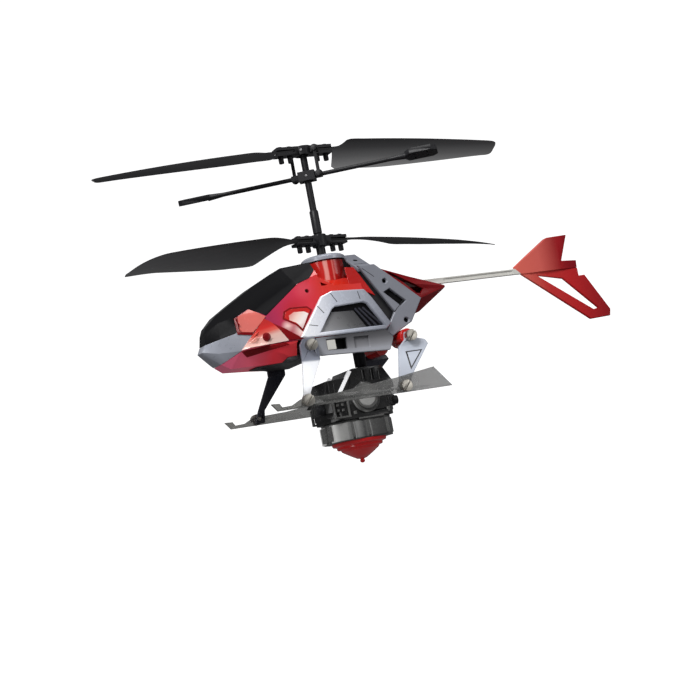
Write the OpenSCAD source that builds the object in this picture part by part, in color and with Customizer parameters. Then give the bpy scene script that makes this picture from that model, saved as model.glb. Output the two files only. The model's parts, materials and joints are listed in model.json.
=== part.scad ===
// Toy remote control helicopter: two rotors that turn opposite ways on one mast, a stabiliser
// bar with paddles, a faceted cabin, two skids on slanted struts and a pod that drops away.
// +X points to the nose, +Y to the left side and +Z up along the mast.
// The origin is on the mast axis, level with the undersides of the skids.

/* [Rotors] */
// Distance from the mast axis to an upper blade tip
upper_r = 95; // [88:1:98]
// Distance from the mast axis to a lower blade tip
lower_r = 92; // [88:1:98]
// Height of the lower rotor's blade plane
lower_z = 72.4; // [72:0.2:76]
// Height of the upper rotor's teeter pivot
upper_z = 112.6; // [110:0.2:116]
// Height of the stabiliser bar's pivot
flybar_z = 101.2; // [100:0.2:103]
// Heading of the lower blades at rest, from the nose
lower_turn = 9.6; // [-20:0.2:20]
// Heading of the stabiliser bar from the upper blades
flybar_turn = -31.6; // [-35:0.2:-28]
// How far the lower tips hang below the hub
lower_droop = 6; // [0:0.1:7]
// How far the upper tips hang below the hub
upper_droop = 6.5; // [0:0.1:7]
// Distance from the mast axis to the far end of a paddle
flybar_r = 57.5; // [52:0.5:60]

/* [Mast and drive] */
// Radius of the inner shaft, which carries the upper rotor
inner_r = 1.5; // [1.4:0.05:1.55]
// Outer radius of the tube that carries the lower rotor
outer_r = 2; // [1.95:0.05:2.1]
// Radial running gap of every shaft and pivot
run_gap = 0.08; // [0.05:0.01:0.1]
// Tooth size, as pitch diameter over number of teeth
gear_mod = 0.4; // [0.38:0.01:0.4]
// Teeth of each main gear
gear_teeth = 54; // [54:18:54]
// Teeth of each motor pinion
pinion_teeth = 9; // [9:1:9]

/* [Cabin] */
// Wall of the moulded shells
wall = 1.2; // [1:0.1:1.6]
// Gap between neighbouring panels
seam = 0.16; // [0.1:0.02:0.3]
// Half width over the side frames
side_y = 18.7; // [18.3:0.1:19]

/* [Landing gear] */
// Distance from the centre plane to the middle of a skid
skid_y = 27.3; // [26:0.1:29]
// Thickness of a skid bar
skid_t = 1.6; // [1.2:0.1:2]
// Distance of the front skid screws ahead of the mast
skid_front_x = 31.6; // [31:0.1:32]
// Distance of the rear skid screws behind the mast
skid_rear_x = 12.9; // [12.5:0.1:13.4]

/* [Drop pod] */
// Middle of the pod along the cabin
pod_x = -1; // [-2:0.1:0]
// Distance that the pod's tip hangs below the skids
pod_tip = 24.5; // [24:0.1:26]

/* [Hidden] */
$fn = 64;
big = 200;
pinion_x = gear_mod * (gear_teeth + pinion_teeth) / 2;
inner_gear_z = 38.6;
outer_gear_z = 47;
gear_w = 2;
motor_r = 4;
motor_base_z = 26.6;
motor_top_z = 36.2;
keel_z = 21;
floor_z = 25;
floor_t = 1.4;
keel_top_z = 22.6;
ring_top_z = 65.5;
sleeve_top_z = 85.8;
hub_half_h = 1.9;
bolt_at = [6.4, 10.7];
link_arm = 5.6;
link_off = 2.45;
link_w = 1.4;
boom_z = 48.9;
screw_head_r = 2.4;
screw_head_l = 2.6;
skid_screw_z = 2.5;
strut_y = 19.3;
strut_t = 1.4;
front_screw = [22.2, 25.5];
rear_screw = [-23.8, 24];
shaft_base_z = 27.4;
stem_x = -8.5;
stem_r = 1.5;
pod_top_z = 14.6;
holder_z = 16;
socket_x = 36;
slot = [4.6, 14, 22.2, 27.2];

// ---------- shared shapes ----------

// Closed solid through rings of points that run clockwise as seen from the first ring
module loft(rings) {
    n = len(rings[0]);
    m = len(rings);
    points = [for (r = rings) each r];
    sides = [for (i = [0 : m - 2], j = [0 : n - 1])
        let (a = i * n + j, b = i * n + (j + 1) % n)
        each [[a, b + n, b], [a, a + n, b + n]]];
    end = (m - 1) * n;
    caps = [for (j = [0 : n / 2 - 2]) each [[j, j + 1, n - 2 - j], [j, n - 2 - j, n - 1 - j],
        [end + j + 1, end + j, end + n - 2 - j], [end + n - 2 - j, end + j, end + n - 1 - j]]];
    polyhedron(points, concat(caps, sides), convexity = 6);
}

// Whole ring from the points of its left half, listed from top to bottom
function whole(half) = concat(half, [for (i = [len(half) - 1 : -1 : 0])
    [half[i].x, -half[i].y, half[i].z]]);

// The same half ring moved inwards by t about the height zc
function inset(half, t, zc) = [for (p = half)
    [p.x, max(p.y - t, 0.4), p.z + (p.z > zc ? -t : t)]];

// Prism across the cabin over an outline given as x and z
module across(outline, y0 = -big, y1 = big) {
    translate([0, y1, 0]) rotate([90, 0, 0]) linear_extrude(y1 - y0) polygon(outline);
}

// The same prism with its outline drawn in by half a seam
module across_seamed(outline) {
    translate([0, big, 0]) rotate([90, 0, 0]) linear_extrude(2 * big)
        offset(delta = -seam / 2) polygon(outline);
}

// Cylinder along Y between two distances from the centre plane
module cross_pin(x, z, r, y0, y1) {
    translate([x, y1, z]) rotate([90, 0, 0]) cylinder(r = r, h = y1 - y0);
}

// One half of a pair, or its mirror image on the right side
module side(left) {
    if (left) children();
    else mirror([0, 1, 0]) children();
}

// ---------- cabin shells ----------

// Left halves of the front shell's rings, from the nose back
FRONT = [
    [[59.6, 2.4, 40.2], [60.5, 3.1, 37.6], [61.2, 3.6, 33.2], [62.8, 3, 30.4], [61.6, 1.8, 28.4]],
    [[54.8, 3.4, 44.6], [55, 6, 41.2], [55.6, 7.6, 34.4], [57, 7, 28.6], [57, 4.4, 24.9]],
    [[47, 4.4, 49.2], [47.8, 9.4, 42.6], [48, 11.2, 35.4], [49, 11, 28], [52.4, 5.4, 21.8]],
    [[37, 5.4, 54.8], [36.6, 12.2, 42.6], [38, 15, 34], [38, 14.6, 27], [39, 9, 21.4]],
    [[23.4, 6.4, 61.2], [20.6, 13.4, 52.6], [22, 16.8, 35], [22, 16.8, 28], [24, 13.4, 20.6]],
    [[10, 7.4, 62.2], [10, 13, 55.8], [10, 16.8, 38], [10, 16.8, 28], [10, 13.4, 20.6]]
];
// Left halves of the middle shell's rings, round the turret
MIDDLE = [
    [[10, 6.8, 57.2], [10, 13, 54.6], [10, 16.8, 40], [10, 16.8, 28.4]],
    [[4, 8.6, 53.6], [4, 14.6, 50], [4, 16.8, 42], [4, 16.8, 28.4]],
    [[-10, 8.6, 53.6], [-10, 14.6, 50], [-10, 16.8, 42], [-10, 16.8, 28.4]]
];

module front_shell() {
    difference() {
        loft([for (h = FRONT) whole(h)]);
        loft([for (i = [0 : len(FRONT) - 1])
            let (h = inset(FRONT[i], wall, 36), last = len(FRONT) - 1)
            whole([for (p = h) [p.x + (i == 0 ? -wall - 0.6 : i == last ? -1 : 0), p.y, p.z]])]);
    }
}

module middle_shell() {
    difference() {
        loft([for (h = MIDDLE) whole(h)]);
        loft([for (i = [0 : 2])
            whole([for (p = MIDDLE[i]) [p.x + [1, 0, -1][i], p.y - wall,
                p.z > 30 ? p.z - wall * 1.2 : 20]])]);
    }
}

// Outline corners that neighbouring panels share, as x and z
CHIN_TOP = [[61.4, 33.2], [48, 35.9], [41.8, 34.6], [45, 29.7]];
BADGE = [[48, 35.9], [48.3, 42.3], [42, 45.2], [36, 41]];
CANOPY_EDGE = [[36, 41], [19.9, 52.6], [14.1, 54.4], [10, 58.2]];

module canopy() {
    color([0.05, 0.05, 0.055]) intersection() {
        front_shell();
        across_seamed(concat([[70, 33.4], CHIN_TOP[0]], BADGE, [for (i = [1 : 3]) CANOPY_EDGE[i]],
            [[10, 70], [70, 70]]));
    }
}

module chin_fairing() {
    color([0.66, 0.67, 0.7]) intersection() {
        front_shell();
        across_seamed(concat([[70, 33.4]], CHIN_TOP, [[57.4, 23.6], [60, 16], [70, 16]]));
    }
}

module side_outline_cut() {
    across_seamed(concat(BADGE, [for (i = [1 : 3]) CANOPY_EDGE[i]],
        [[10, 70], [-5.2, 70], [-5.2, 57], [-8.6, 52], [-8.6, 28.6], [44.8, 28.6], [45, 29.7],
        [41.8, 34.6]]));
}

// Red side panel, with its round and triangular holes and its sunk V panel
module side_panel(left) {
    side(left) color([0.8, 0.06, 0.07]) difference() {
        intersection() {
            union() {
                front_shell();
                middle_shell();
            }
            side_outline_cut();
            translate([-big / 2, 0.1, 0]) cube(big);
        }
        cylinder(r = 9.1, h = big);
        cross_pin(16.5, 49, 0.9, 10, 20);
        across([[9.6, 52.2], [6.6, 50.6], [9.4, 50.4]], 10, 20);
        cross_pin(38.4, 31.8, 1.3, 12, 20);
    }
}
module left_side_panel() { side_panel(true); }
module right_side_panel() { side_panel(false); }

// Round plugs that cap the cheek screws
module cheek_plugs() {
    color([0.62, 0.03, 0.04]) for (s = [-1, 1]) translate([38.4, s * 13.2, 31.8])
        rotate([-90 * s, 0, 0]) {
            cylinder(r = 1.15, h = 2.1);
            translate([0, 0, 2]) cylinder(r1 = 1.9, r2 = 1.3, h = 0.9);
        }
}

module keel_outline() {
    polygon([[41, -4], [41, 4], [33, 9.6], [27, 16.5], [17.7, 16.5], [17.7, -16.5],
        [27, -16.5], [33, -9.6]]);
}

module belly_pan() {
    color([0.55, 0.1, 0.15]) difference() {
        intersection() {
            front_shell();
            across_seamed([[57.4, 23.6], [45, 29.7], [44.8, 28.6], [25.6, 28.6], [25.6, 15],
                [60, 15]]);
        }
        translate([0, 0, keel_z - 3]) linear_extrude(keel_top_z - keel_z + 3.2)
            offset(delta = 0.2) keel_outline();
        translate([21, -20, 19]) cube([5.2, 40, 9]);
    }
}

// Black tray under the nose, with the front strut bosses and the board posts
module keel() {
    color([0.08, 0.08, 0.09]) difference() {
        union() {
            translate([0, 0, keel_z]) linear_extrude(keel_top_z - keel_z) keel_outline();
            for (s = [-1, 1]) {
                cross_pin(front_screw.x, front_screw.y, 3, s > 0 ? 13 : -18.5, s > 0 ? 18.5 : -13);
                for (x = [19, 31]) translate([x, s * 8.6, keel_top_z - 0.2])
                    cylinder(r = 1, h = 10.4);
            }
        }
        for (s = [-1, 1]) cross_pin(front_screw.x, front_screw.y, 0.95, s > 0 ? 14 : -19,
            s > 0 ? 19 : -14);
        translate([socket_x, 0, keel_z - 1]) cylinder(r = 2.4, h = 4);
    }
}

// Round tower under the mast, with an inner floor ring that rests on the shell
module turret() {
    color([0.75, 0.05, 0.05]) rotate_extrude()
        polygon([[7.6, 50.6], [9, 50.6], [9, 62.4], [3.6, 62.4], [3.6, 61], [7.6, 61]]);
}

// Silver collar on top of the cabin, cut off straight where the roof plates begin
module mast_ring() {
    color([0.75, 0.77, 0.82]) difference() {
        rotate_extrude() polygon([[3.5, 62.4], [9.6, 62.4], [9.6, 64.1], [8.4, ring_top_z - 0.4],
            [4.6, ring_top_z], [3.5, ring_top_z]]);
        translate([-20, -20, 60]) cube([12.3, 40, 10]);
    }
}

// ---------- side frames ----------

// Silver arch over the cabin side, with a sunk panel, as seen from the left
module bridge(left) {
    outer = [[24.4, 29.6], [12.4, 45.4], [7.4, 47.1], [-7.6, 46.3], [-10.4, 42.8], [-17.4, 30.6],
        [-14.6, 28.4], [22, 28.9]];
    inner = [[14.4, 31.4], [7.4, 38.8], [-7.2, 39.2], [-11.4, 31.2]];
    side(left) color([0.72, 0.74, 0.78]) difference() {
        across(outer, 16.9, side_y);
        across(inner, 17.4, 20);
        across([[18.6, 34.6], [19.2, 34.1], [21.4, 36.6], [20.8, 37.1]], 18.4, 20);
        across([[13.4, 40.6], [14, 40.1], [16.4, 42.6], [15.8, 43.1]], 18.4, 20);
        across([[2.6, 40.4], [3.3, 40.3], [3.8, 46.4], [3.1, 46.5]], 18.4, 20);
    }
}
module left_bridge() { bridge(true); }
module right_bridge() { bridge(false); }

// Silver rail under the left arch, with a slot for the switch knob
module left_lower_frame() {
    color([0.55, 0.57, 0.62]) difference() {
        across([[18.2, 28.3], [-14.4, 28.2], [-17, 24.4], [-14.6, 19.4], [18.2, 20.9]], 16.9, 18.5);
        across([[slot[1], slot[2] + 0.4], [slot[1], slot[3]], [slot[0], slot[3] - 0.2],
            [slot[0], slot[2]]]);
        across([[1.4, 22], [1.4, 26.8], [-5.6, 26.6], [-5.6, 21.7]], 17.6, 20);
    }
}

// Slim rail under the right arch
module right_lower_frame() {
    color([0.55, 0.57, 0.62])
        across([[18.2, 28.3], [-14.4, 28.2], [-15.6, 25.9], [18.2, 25.9]], -18.5, -16.9);
}

// Grey hoop behind the mast: two sloping roof plates and a slanted arm on each side
module rear_arch_frame() {
    arm = [[-8, 57], [-15.8, 56.9], [-35, 40], [-28.4, 30.4], [-22.3, 27.4], [-18.2, 25.2],
        [-15.6, 27.6], [-21.2, 35.6]];
    color([0.5, 0.5, 0.54]) difference() {
        union() {
            for (s = [-1, 1]) {
                translate([0, s > 0 ? 14.6 : -16.2, 0]) across(arm, 0, 1.6);
                multmatrix([[1, 0, 0, 0], [0, s, 0, 0], [0, 0, 1, 0]])
                    translate([0, 0, 65]) rotate([-30.2, 0, 0]) translate([-15.6, 0, -1.6])
                    cube([7.6, 18.3, 1.6]);
            }
            cross_pin(-20.6, 29.6, 1.2, -14.6, 14.6);
        }
        translate([0, 0, 40]) cylinder(r = 9.7, h = 40);
        for (s = [-1, 1]) {
            y0 = s > 0 ? 10 : -20;
            cross_pin(-19.1, 49.2, 1.1, y0, y0 + 10);
            cross_pin(-25.9, 31.4, 1.1, y0, y0 + 10);
            across([[-16.6, 44.6], [-20.6, 45.8], [-27.6, 39.6], [-24.4, 37.4]], y0, y0 + 10);
            translate([-12.4, s * 8, 50]) cylinder(r = 1, h = 20);
            translate([-30, s > 0 ? 16.2 : -36.2, 50]) cube([40, 20, 20]);
        }
    }
}

// Dark red cowl that closes the cabin down onto the boom
module rear_cone() {
    rings = [
        [[-18.6, 8, 57.4], [-18.6, 12.6, 51], [-19, 12.6, 40], [-24, 9, 31.6]],
        [[-38, 3.6, 51.8], [-38, 6.4, 48], [-38.6, 6.4, 41], [-39.6, 3.4, 36]],
        [[-55, 1.6, 46.8], [-55.3, 2.2, 46.3], [-55.3, 2.2, 45.6], [-54.4, 1.4, 44.8]]
    ];
    color([0.5, 0.03, 0.05]) difference() {
        loft([for (h = rings) whole(h)]);
        loft([for (i = [0 : 2]) whole([for (p = rings[i])
            [p.x + [1, 0, 3][i], max(p.y - wall, 0.5),
            p.z + (p.z > 46 ? -1 : 1) * [wall, wall, 0.4][i]]])]);
        across([[-25.2, 54], [-27, 54.4], [-42.6, 45.6], [-41, 43.6], [-38.6, 43.8]]);
        translate([-60, -1.1, boom_z - 1.5]) cube([34, 2.2, 3]);
    }
}

// ---------- chassis, boom and tail ----------

// Floor, bearing towers, motor cups and the tail socket
module chassis() {
    post_h = 45 - floor_z;
    color([0.16, 0.16, 0.18]) difference() {
        union() {
            translate([-17, -10.9, floor_z]) cube([34, 21.8, floor_t]);
            translate([-26, -3.2, floor_z]) cube([10, 6.4, floor_t]);
            translate([0, 0, floor_z]) cylinder(r = 4.2, h = 8);
            for (s = [-1, 1]) {
                translate([s * pinion_x, 0, floor_z]) cylinder(r = motor_r + 0.4, h = 5);
                translate([-4, s > 0 ? 12 : -13.6, floor_z]) cube([8, 1.6, post_h]);
                translate([-4, s > 0 ? 10 : -13.6, floor_z]) cube([8, 3.6, floor_t]);
            }
            translate([-4, -13.6, 43]) cube([8, 27.2, 2]);
            translate([0, 0, 42]) cylinder(r = 5, h = 3);
            translate([-26, -7.8, floor_z]) cube([4.6, 15.6, 2.4]);
            translate([-23.2, -2.4, floor_z]) cube([1.3, 4.8, 25]);
            translate([-31, -2.2, 46.4]) cube([9.1, 4.4, 5]);
        }
        translate([0, 0, floor_z - 1]) cylinder(r = 2.1, h = 8);
        translate([0, 0, 29]) cylinder(r = 2.6, h = 6);
        translate([0, 0, 41]) cylinder(r = 3.5, h = 5);
        for (s = [-1, 1]) translate([s * pinion_x, 0, motor_base_z])
            cylinder(r = motor_r + 0.02, h = 9);
        translate([-40, -0.9, boom_z - 1.3]) cube([14, 1.8, 2.6]);
    }
}

// Distance of the upper fin's front edge along X at height z
function fin_front(z) = -93 - (50.9 - z) * 36 / 35;

// Flat strip that carries the tail, cut along the fin's front edge
module tail_boom() {
    low = boom_z - 1.3;
    high = boom_z + 1.3;
    outline = [[-26, low], [-26, high], [fin_front(high) + 0.02, high],
        [fin_front(low) + 0.02, low]];
    color([0.9, 0.9, 0.86]) difference() {
        across(outline, -0.9, 0.9);
        for (s = [-1, 1]) translate([-92, s > 0 ? 0.6 : -1.6, boom_z - 0.5]) cube([36, 1, 1]);
    }
}

// Upright fin with a lens-shaped section
module upper_fin() {
    outline = [[-93, 50.9], [-113.1, 62.8], [-124.6, 63.4], [-118.8, 51.4], [-127.4, 51.1],
        [-127, 47.4], [-96.6, 47.4]];
    lens_r = 110;
    color([0.72, 0.2, 0.2]) intersection() {
        across(outline, -2, 2);
        translate([-110, lens_r - 1.7, 0]) cylinder(r = lens_r, h = 80, $fn = 360);
        translate([-110, 1.7 - lens_r, 0]) cylinder(r = lens_r, h = 80, $fn = 360);
    }
}

// Open frame below the boom, swept down and back
module lower_fin() {
    outline = [[-96.8, 47.3], [-127, 47.3], [-127, 43.7], [-130.2, 43.8], [-140.4, 26.4],
        [-139.6, 23.4], [-128.8, 23]];
    window = [[-104.4, 46.1], [-118.2, 43.2], [-134, 27.8], [-131.3, 27.3]];
    color([0.6, 0.03, 0.06]) difference() {
        across(outline, -0.7, 0.7);
        across(window, -2, 2);
    }
}

// ---------- landing gear ----------

// Thin bar with an upturned hook in front and a flared, slanted tail
module skid(left) {
    outline = [[46.9, 3.1], [43.6, 2.9], [42.6, 1.3], [38, 1.5], [34, 3.4], [28, 3.6], [18.4, 3.9],
        [-9.5, 6.5], [-27.8, 8.9], [-35, 0], [44.4, 0]];
    side(left) color([0.42, 0.42, 0.43]) difference() {
        across(outline, skid_y - skid_t / 2, skid_y + skid_t / 2);
        for (x = [skid_front_x, -skid_rear_x]) cross_pin(x, skid_screw_z, 0.95, 20, 32);
        across([[24, 0.9], [24, 1.2], [-24, 1.2], [-24, 0.9]], skid_y + skid_t / 2 - 0.2, 40);
    }
}
module left_skid() { skid(true); }
module right_skid() { skid(false); }

// Strut ring: rear edge, front edge, height and distance out
function strut_ring(x0, x1, z, y) = let (t = strut_t / 2)
    [[x0, y - t, z], [x0, y + t, z], [x1, y + t, z], [x1, y - t, z]];

module front_strut(left) {
    foot_y = skid_y - skid_t / 2 - strut_t / 2 - 0.02;
    side(left) difference() {
        loft([strut_ring(19.6, 24.8, 28.6, strut_y), strut_ring(18.6, 26.6, 26, strut_y),
            strut_ring(18.8, 26.8, 19, strut_y), strut_ring(28.6, 31.6, 5.6, foot_y),
            strut_ring(29.4, 34, 0.4, foot_y)]);
        cross_pin(front_screw.x, front_screw.y, 0.95, 15, 25);
        cross_pin(skid_front_x, skid_screw_z, 0.95, 20, 30);
    }
}
module left_front_strut() { color([0.88, 0.89, 0.9]) front_strut(true); }
module right_front_strut() { color([0.2, 0.2, 0.24]) front_strut(false); }

module rear_strut(left) {
    foot_y = skid_y - skid_t / 2 - strut_t / 2 - 0.02;
    side(left) difference() {
        loft([strut_ring(-26.4, -21.8, 25.8, strut_y), strut_ring(-27, -21.4, 22.8, strut_y),
            strut_ring(-30.8, -20.4, 21.8, strut_y), strut_ring(-32, -18, 19.8, strut_y),
            strut_ring(-17.4, -12, 5.6, foot_y), strut_ring(-16.2, -9.8, 0.4, foot_y)]);
        cross_pin(rear_screw.x, rear_screw.y, 0.95, 15, 25);
        cross_pin(-skid_rear_x, skid_screw_z, 0.95, 20, 30);
    }
}
module left_rear_strut() { color([0.6, 0.66, 0.76]) rear_strut(true); }
module right_rear_strut() { color([0.1, 0.1, 0.12]) rear_strut(false); }

// Red bosses that the rear struts are screwed to
module rear_bosses() {
    color([0.75, 0.05, 0.04]) for (s = [-1, 1]) difference() {
        cross_pin(rear_screw.x, rear_screw.y, 3.5, s > 0 ? 7.9 : -18.5, s > 0 ? 18.5 : -7.9);
        cross_pin(rear_screw.x, rear_screw.y, 0.95, s > 0 ? 7 : -19, s > 0 ? 19 : -7);
    }
}

// Screw along Y with a slotted barrel head outwards, the head seated at y
module slotted_screw(x, y, z, shank) {
    translate([x, y, z]) rotate([-90, 0, 0]) difference() {
        union() {
            translate([0, 0, -shank]) cylinder(r = 0.9, h = shank + 0.1);
            cylinder(r = screw_head_r, h = screw_head_l);
        }
        rotate([0, 0, 50]) translate([-3, -0.35, screw_head_l - 0.7]) cube([6, 0.7, 1]);
    }
}

module slotted_screws() {
    color([0.6, 0.59, 0.55]) for (left = [true, false]) side(left) {
        for (p = [front_screw, rear_screw])
            slotted_screw(p.x, strut_y + strut_t / 2 + 0.02, p.y, 5);
        for (x = [skid_front_x, -skid_rear_x])
            slotted_screw(x, skid_y + skid_t / 2 + 0.02, skid_screw_z, 3);
    }
}

// ---------- electrics ----------

// Rounded block along X between two corners
module soft_block(p, q, r) {
    translate([p.x, 0, 0]) rotate([90, 0, 90]) linear_extrude(q.x - p.x) hull()
        for (y = [p.y + r, q.y - r], z = [p.z + r, q.z - r]) translate([y, z]) circle(r, $fn = 24);
}

module battery() {
    color([0.75, 0.76, 0.78]) soft_block([18.4, -6.5, keel_top_z + 0.1], [33, 6.5, 29.8], 2);
}

module circuit_board() {
    color([0.05, 0.3, 0.12]) {
        translate([17.4, -8.8, 32.8]) cube([23, 17.6, 1]);
        translate([22, -4, 33.7]) cube([6, 6, 1.4]);
        translate([31, -6, 33.7]) cube([4, 3, 1.2]);
        translate([31, 2, 33.7]) cylinder(r = 1.6, h = 4);
    }
}

module infrared_receiver() {
    color([0.08, 0.05, 0.07]) {
        translate([36.6, -2.6, 33.8]) cube([3.4, 5.2, 6]);
        translate([39.9, 0, 37]) rotate([0, 90, 0]) cylinder(r = 2.2, h = 0.8);
    }
}

module charge_socket() {
    color([0.12, 0.12, 0.12]) translate([socket_x, 0, keel_z]) difference() {
        cylinder(r = 2.3, h = 7);
        translate([0, 0, -1]) cylinder(r = 1.2, h = 6);
    }
}

// Case of the power switch, open towards the slot in the left rail
module switch_body() {
    color([0.06, 0.06, 0.06]) difference() {
        translate([slot[0] - 0.5, 12.8, slot[2] - 1]) cube([10.7, 4, 6.6]);
        translate([slot[0] - 0.1, 13.8, slot[2] + 0.1]) cube([9.6, 4, 4.9]);
    }
}

// Knob of the power switch, at the nose end of its travel
module switch_slider() {
    color([0.9, 0.9, 0.88]) translate([9.9, 13.9, 22.8]) cube([3.9, 4.4, 4]);
}

// Motor can with a raised collar round its shaft
module motor(x) {
    color([0.7, 0.7, 0.72]) translate([x, 0, 0]) difference() {
        union() {
            translate([0, 0, motor_base_z]) cylinder(r = motor_r, h = motor_top_z - motor_base_z);
            translate([0, 0, motor_top_z - 0.1]) cylinder(r = 1.4, h = 0.6);
        }
        translate([0, 0, motor_top_z - 6]) cylinder(r = 0.5 + run_gap, h = 8);
    }
}
module front_motor() { motor(pinion_x); }
module rear_motor() { motor(-pinion_x); }

// ---------- gears and shafts ----------

// Gear outline with straight-sided teeth and room for backlash, one tooth on +X
module gear_outline(teeth) {
    pitch_r = gear_mod * teeth / 2;
    step = 360 / teeth;
    polygon([for (i = [0 : teeth - 1]) each [
        for (p = [[-0.33, -1.2], [-0.11, 0.9], [0.11, 0.9], [0.33, -1.2]])
            let (r = pitch_r + p[1] * gear_mod, a = (i + p[0]) * step) [r * cos(a), r * sin(a)]
    ]]);
}

// Main gear with a hub and lightening holes
module main_gear(z, bore) {
    translate([0, 0, z]) difference() {
        union() {
            linear_extrude(gear_w) gear_outline(gear_teeth);
            translate([0, 0, gear_w - 0.1]) cylinder(r = 3.4, h = 0.9);
        }
        translate([0, 0, -1]) cylinder(r = bore, h = 6);
        for (i = [0 : 5]) rotate(i * 60 + 30) translate([6.8, 0, -1]) cylinder(r = 2, h = 5);
    }
}
module outer_gear() { color([0.92, 0.92, 0.9]) main_gear(outer_gear_z, outer_r); }
module inner_gear() { color([0.92, 0.92, 0.9]) main_gear(inner_gear_z, inner_r); }

// Pinion at height z on its motor shaft, turned so that a gap faces the gear's tooth
module pinion(x, z, turn) {
    color([0.8, 0.68, 0.35]) translate([x, 0, 0]) {
        translate([0, 0, motor_top_z - 5]) cylinder(r = 0.5, h = z + gear_w + 6 - motor_top_z);
        translate([0, 0, z - 0.2]) linear_extrude(gear_w + 0.4) rotate(turn)
            gear_outline(pinion_teeth);
    }
}
module front_pinion() { pinion(pinion_x, inner_gear_z, 0); }
module rear_pinion() { pinion(-pinion_x, outer_gear_z, 180); }

module tube(r0, r1, z0, z1) {
    translate([0, 0, z0]) difference() {
        cylinder(r = r1, h = z1 - z0);
        translate([0, 0, -1]) cylinder(r = r0, h = z1 - z0 + 2);
    }
}

module mast_bearings() {
    color([0.75, 0.76, 0.78]) {
        tube(inner_r + run_gap, 2.6, 29, 32);
        tube(outer_r + run_gap, 3.5, 42, 45);
        tube(outer_r + run_gap, 3.5, 62.4, ring_top_z - 0.2);
    }
}

module outer_shaft() {
    color([0.07, 0.07, 0.08]) tube(inner_r + run_gap, outer_r, 41.6, lower_z + 2.8);
}

module shaft_sleeve() {
    color([0.08, 0.08, 0.09]) tube(inner_r, 1.95, lower_z + 3.2, sleeve_top_z);
}

module inner_shaft() {
    color([0.06, 0.06, 0.07]) difference() {
        translate([0, 0, shaft_base_z]) cylinder(r = inner_r, h = upper_z + 1.3 - shaft_base_z);
        for (z = [flybar_z, upper_z]) in_bar_frame() cross_pin(0, z, 0.5, -3, 3);
    }
}

// Frame whose X axis lies along the stabiliser bar
module in_bar_frame() {
    rotate(flybar_turn) children();
}

module teeter_pins() {
    color([0.6, 0.6, 0.62]) in_bar_frame() {
        cross_pin(0, flybar_z, 0.5, -3.2, 3.2);
        cross_pin(0, upper_z, 0.5, -4.4, 4.4);
    }
}

// ---------- rotors ----------

// Bar along X whose forked ends hold the blade roots
module grip_bar(extra = 0) {
    difference() {
        union() {
            translate([-13, -2.7, -hub_half_h]) cube([26, 5.4, 2 * hub_half_h]);
            children();
        }
        for (s = [-1, 1]) {
            translate([s > 0 ? 4.7 : -14.7, -3.1, -0.6]) cube([10, 6.2, 1.2]);
            for (x = bolt_at) translate([s * x, 0, -5]) cylinder(r = 0.85, h = 10);
        }
    }
}

module grip_bolts() {
    for (s = [-1, 1], x = bolt_at) translate([s * x, 0, 0]) {
        translate([0, 0, -hub_half_h - 0.1]) cylinder(r = 0.8, h = 2 * hub_half_h + 0.2);
        translate([0, 0, hub_half_h]) cylinder(r = 1.35, h = 0.8);
        translate([0, 0, -hub_half_h - 3]) cylinder(r = 1.15, h = 3);
    }
}

// Blade section ring at distance r, with the chord running from lead to the trailing edge
function blade_ring(r, chord, lead, pitch, drop) =
    [for (p = [[0, 0], [0.14, 0.6], [0.5, 0.8], [1, 0], [0.5, 0.1], [0.14, -0.2]])
        let (y = lead - p[0] * chord, camber = 0.14 * chord * p[0] * (1 - p[0]),
            z = camber + p[1] * 1.1)
        [r, y * cos(pitch) - z * sin(pitch), y * sin(pitch) + z * cos(pitch) - drop]];

// One blade along +X with its leading edge at +Y, bending down by droop at its tip
module blade(stations, tip_r, droop) {
    difference() {
        union() {
            translate([4.9, -2.3, -0.55]) cube([9.6, 4.6, 1.1]);
            loft([for (s = stations)
                blade_ring(s[0] * tip_r, s[1], s[2], s[3], droop * pow(s[0], 1.6))]);
        }
        for (x = bolt_at) translate([x, 0, -5]) cylinder(r = 0.85, h = 10);
    }
}

// Each station is a fraction of the tip radius, then chord, leading edge and pitch
LOWER = [[0.144, 4.4, 2.2, 6], [0.165, 6, 3, 10], [0.22, 13, 4.6, 17], [0.3, 20.1, 5.6, 23.3],
    [0.5, 19, 5.6, 23.7], [0.7, 16.1, 5.6, 23], [0.85, 13.5, 5.4, 21.6], [0.91, 11.2, 3.6, 21.2],
    [0.96, 7.6, 0.2, 21], [1, 2.2, -4.9, 21]];
UPPER = [[0.139, 4.4, 2.2, 6], [0.165, 5.4, 2.7, 10], [0.185, 15.4, 3.4, 20],
    [0.215, 20.1, 6.8, 25], [0.45, 19, 6.8, 25.6], [0.7, 15.1, 6.8, 25.7],
    [0.95, 10.2, 6.8, 25.1], [0.98, 9.2, 6.3, 25.1], [1, 5.8, 4.4, 25.1]];

module in_lower_rotor() {
    translate([0, 0, lower_z]) rotate(lower_turn) children();
}
module in_upper_rotor() {
    translate([0, 0, upper_z]) children();
}

module lower_hub() {
    color([0.07, 0.07, 0.08]) in_lower_rotor() difference() {
        grip_bar() translate([0, 0, -2.6]) cylinder(r = 3.3, h = 5.2);
        translate([0, 0, -5]) cylinder(r = outer_r, h = 10);
    }
}
module lower_hub_bolts() { color([0.12, 0.12, 0.13]) in_lower_rotor() grip_bolts(); }

// Blades of the lower rotor lead counter-clockwise as seen from above
module lower_blades() {
    color([0.17, 0.17, 0.18]) in_lower_rotor() for (a = [0, 180]) rotate(a)
        blade(LOWER, lower_r, lower_droop);
}

// Blades of the upper rotor lead clockwise as seen from above
module upper_blades() {
    color([0.17, 0.17, 0.18]) in_upper_rotor() for (a = [0, 180]) rotate(a) mirror([0, 1, 0])
        blade(UPPER, upper_r, upper_droop);
}
module upper_hub_bolts() { color([0.12, 0.12, 0.13]) in_upper_rotor() grip_bolts(); }

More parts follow.
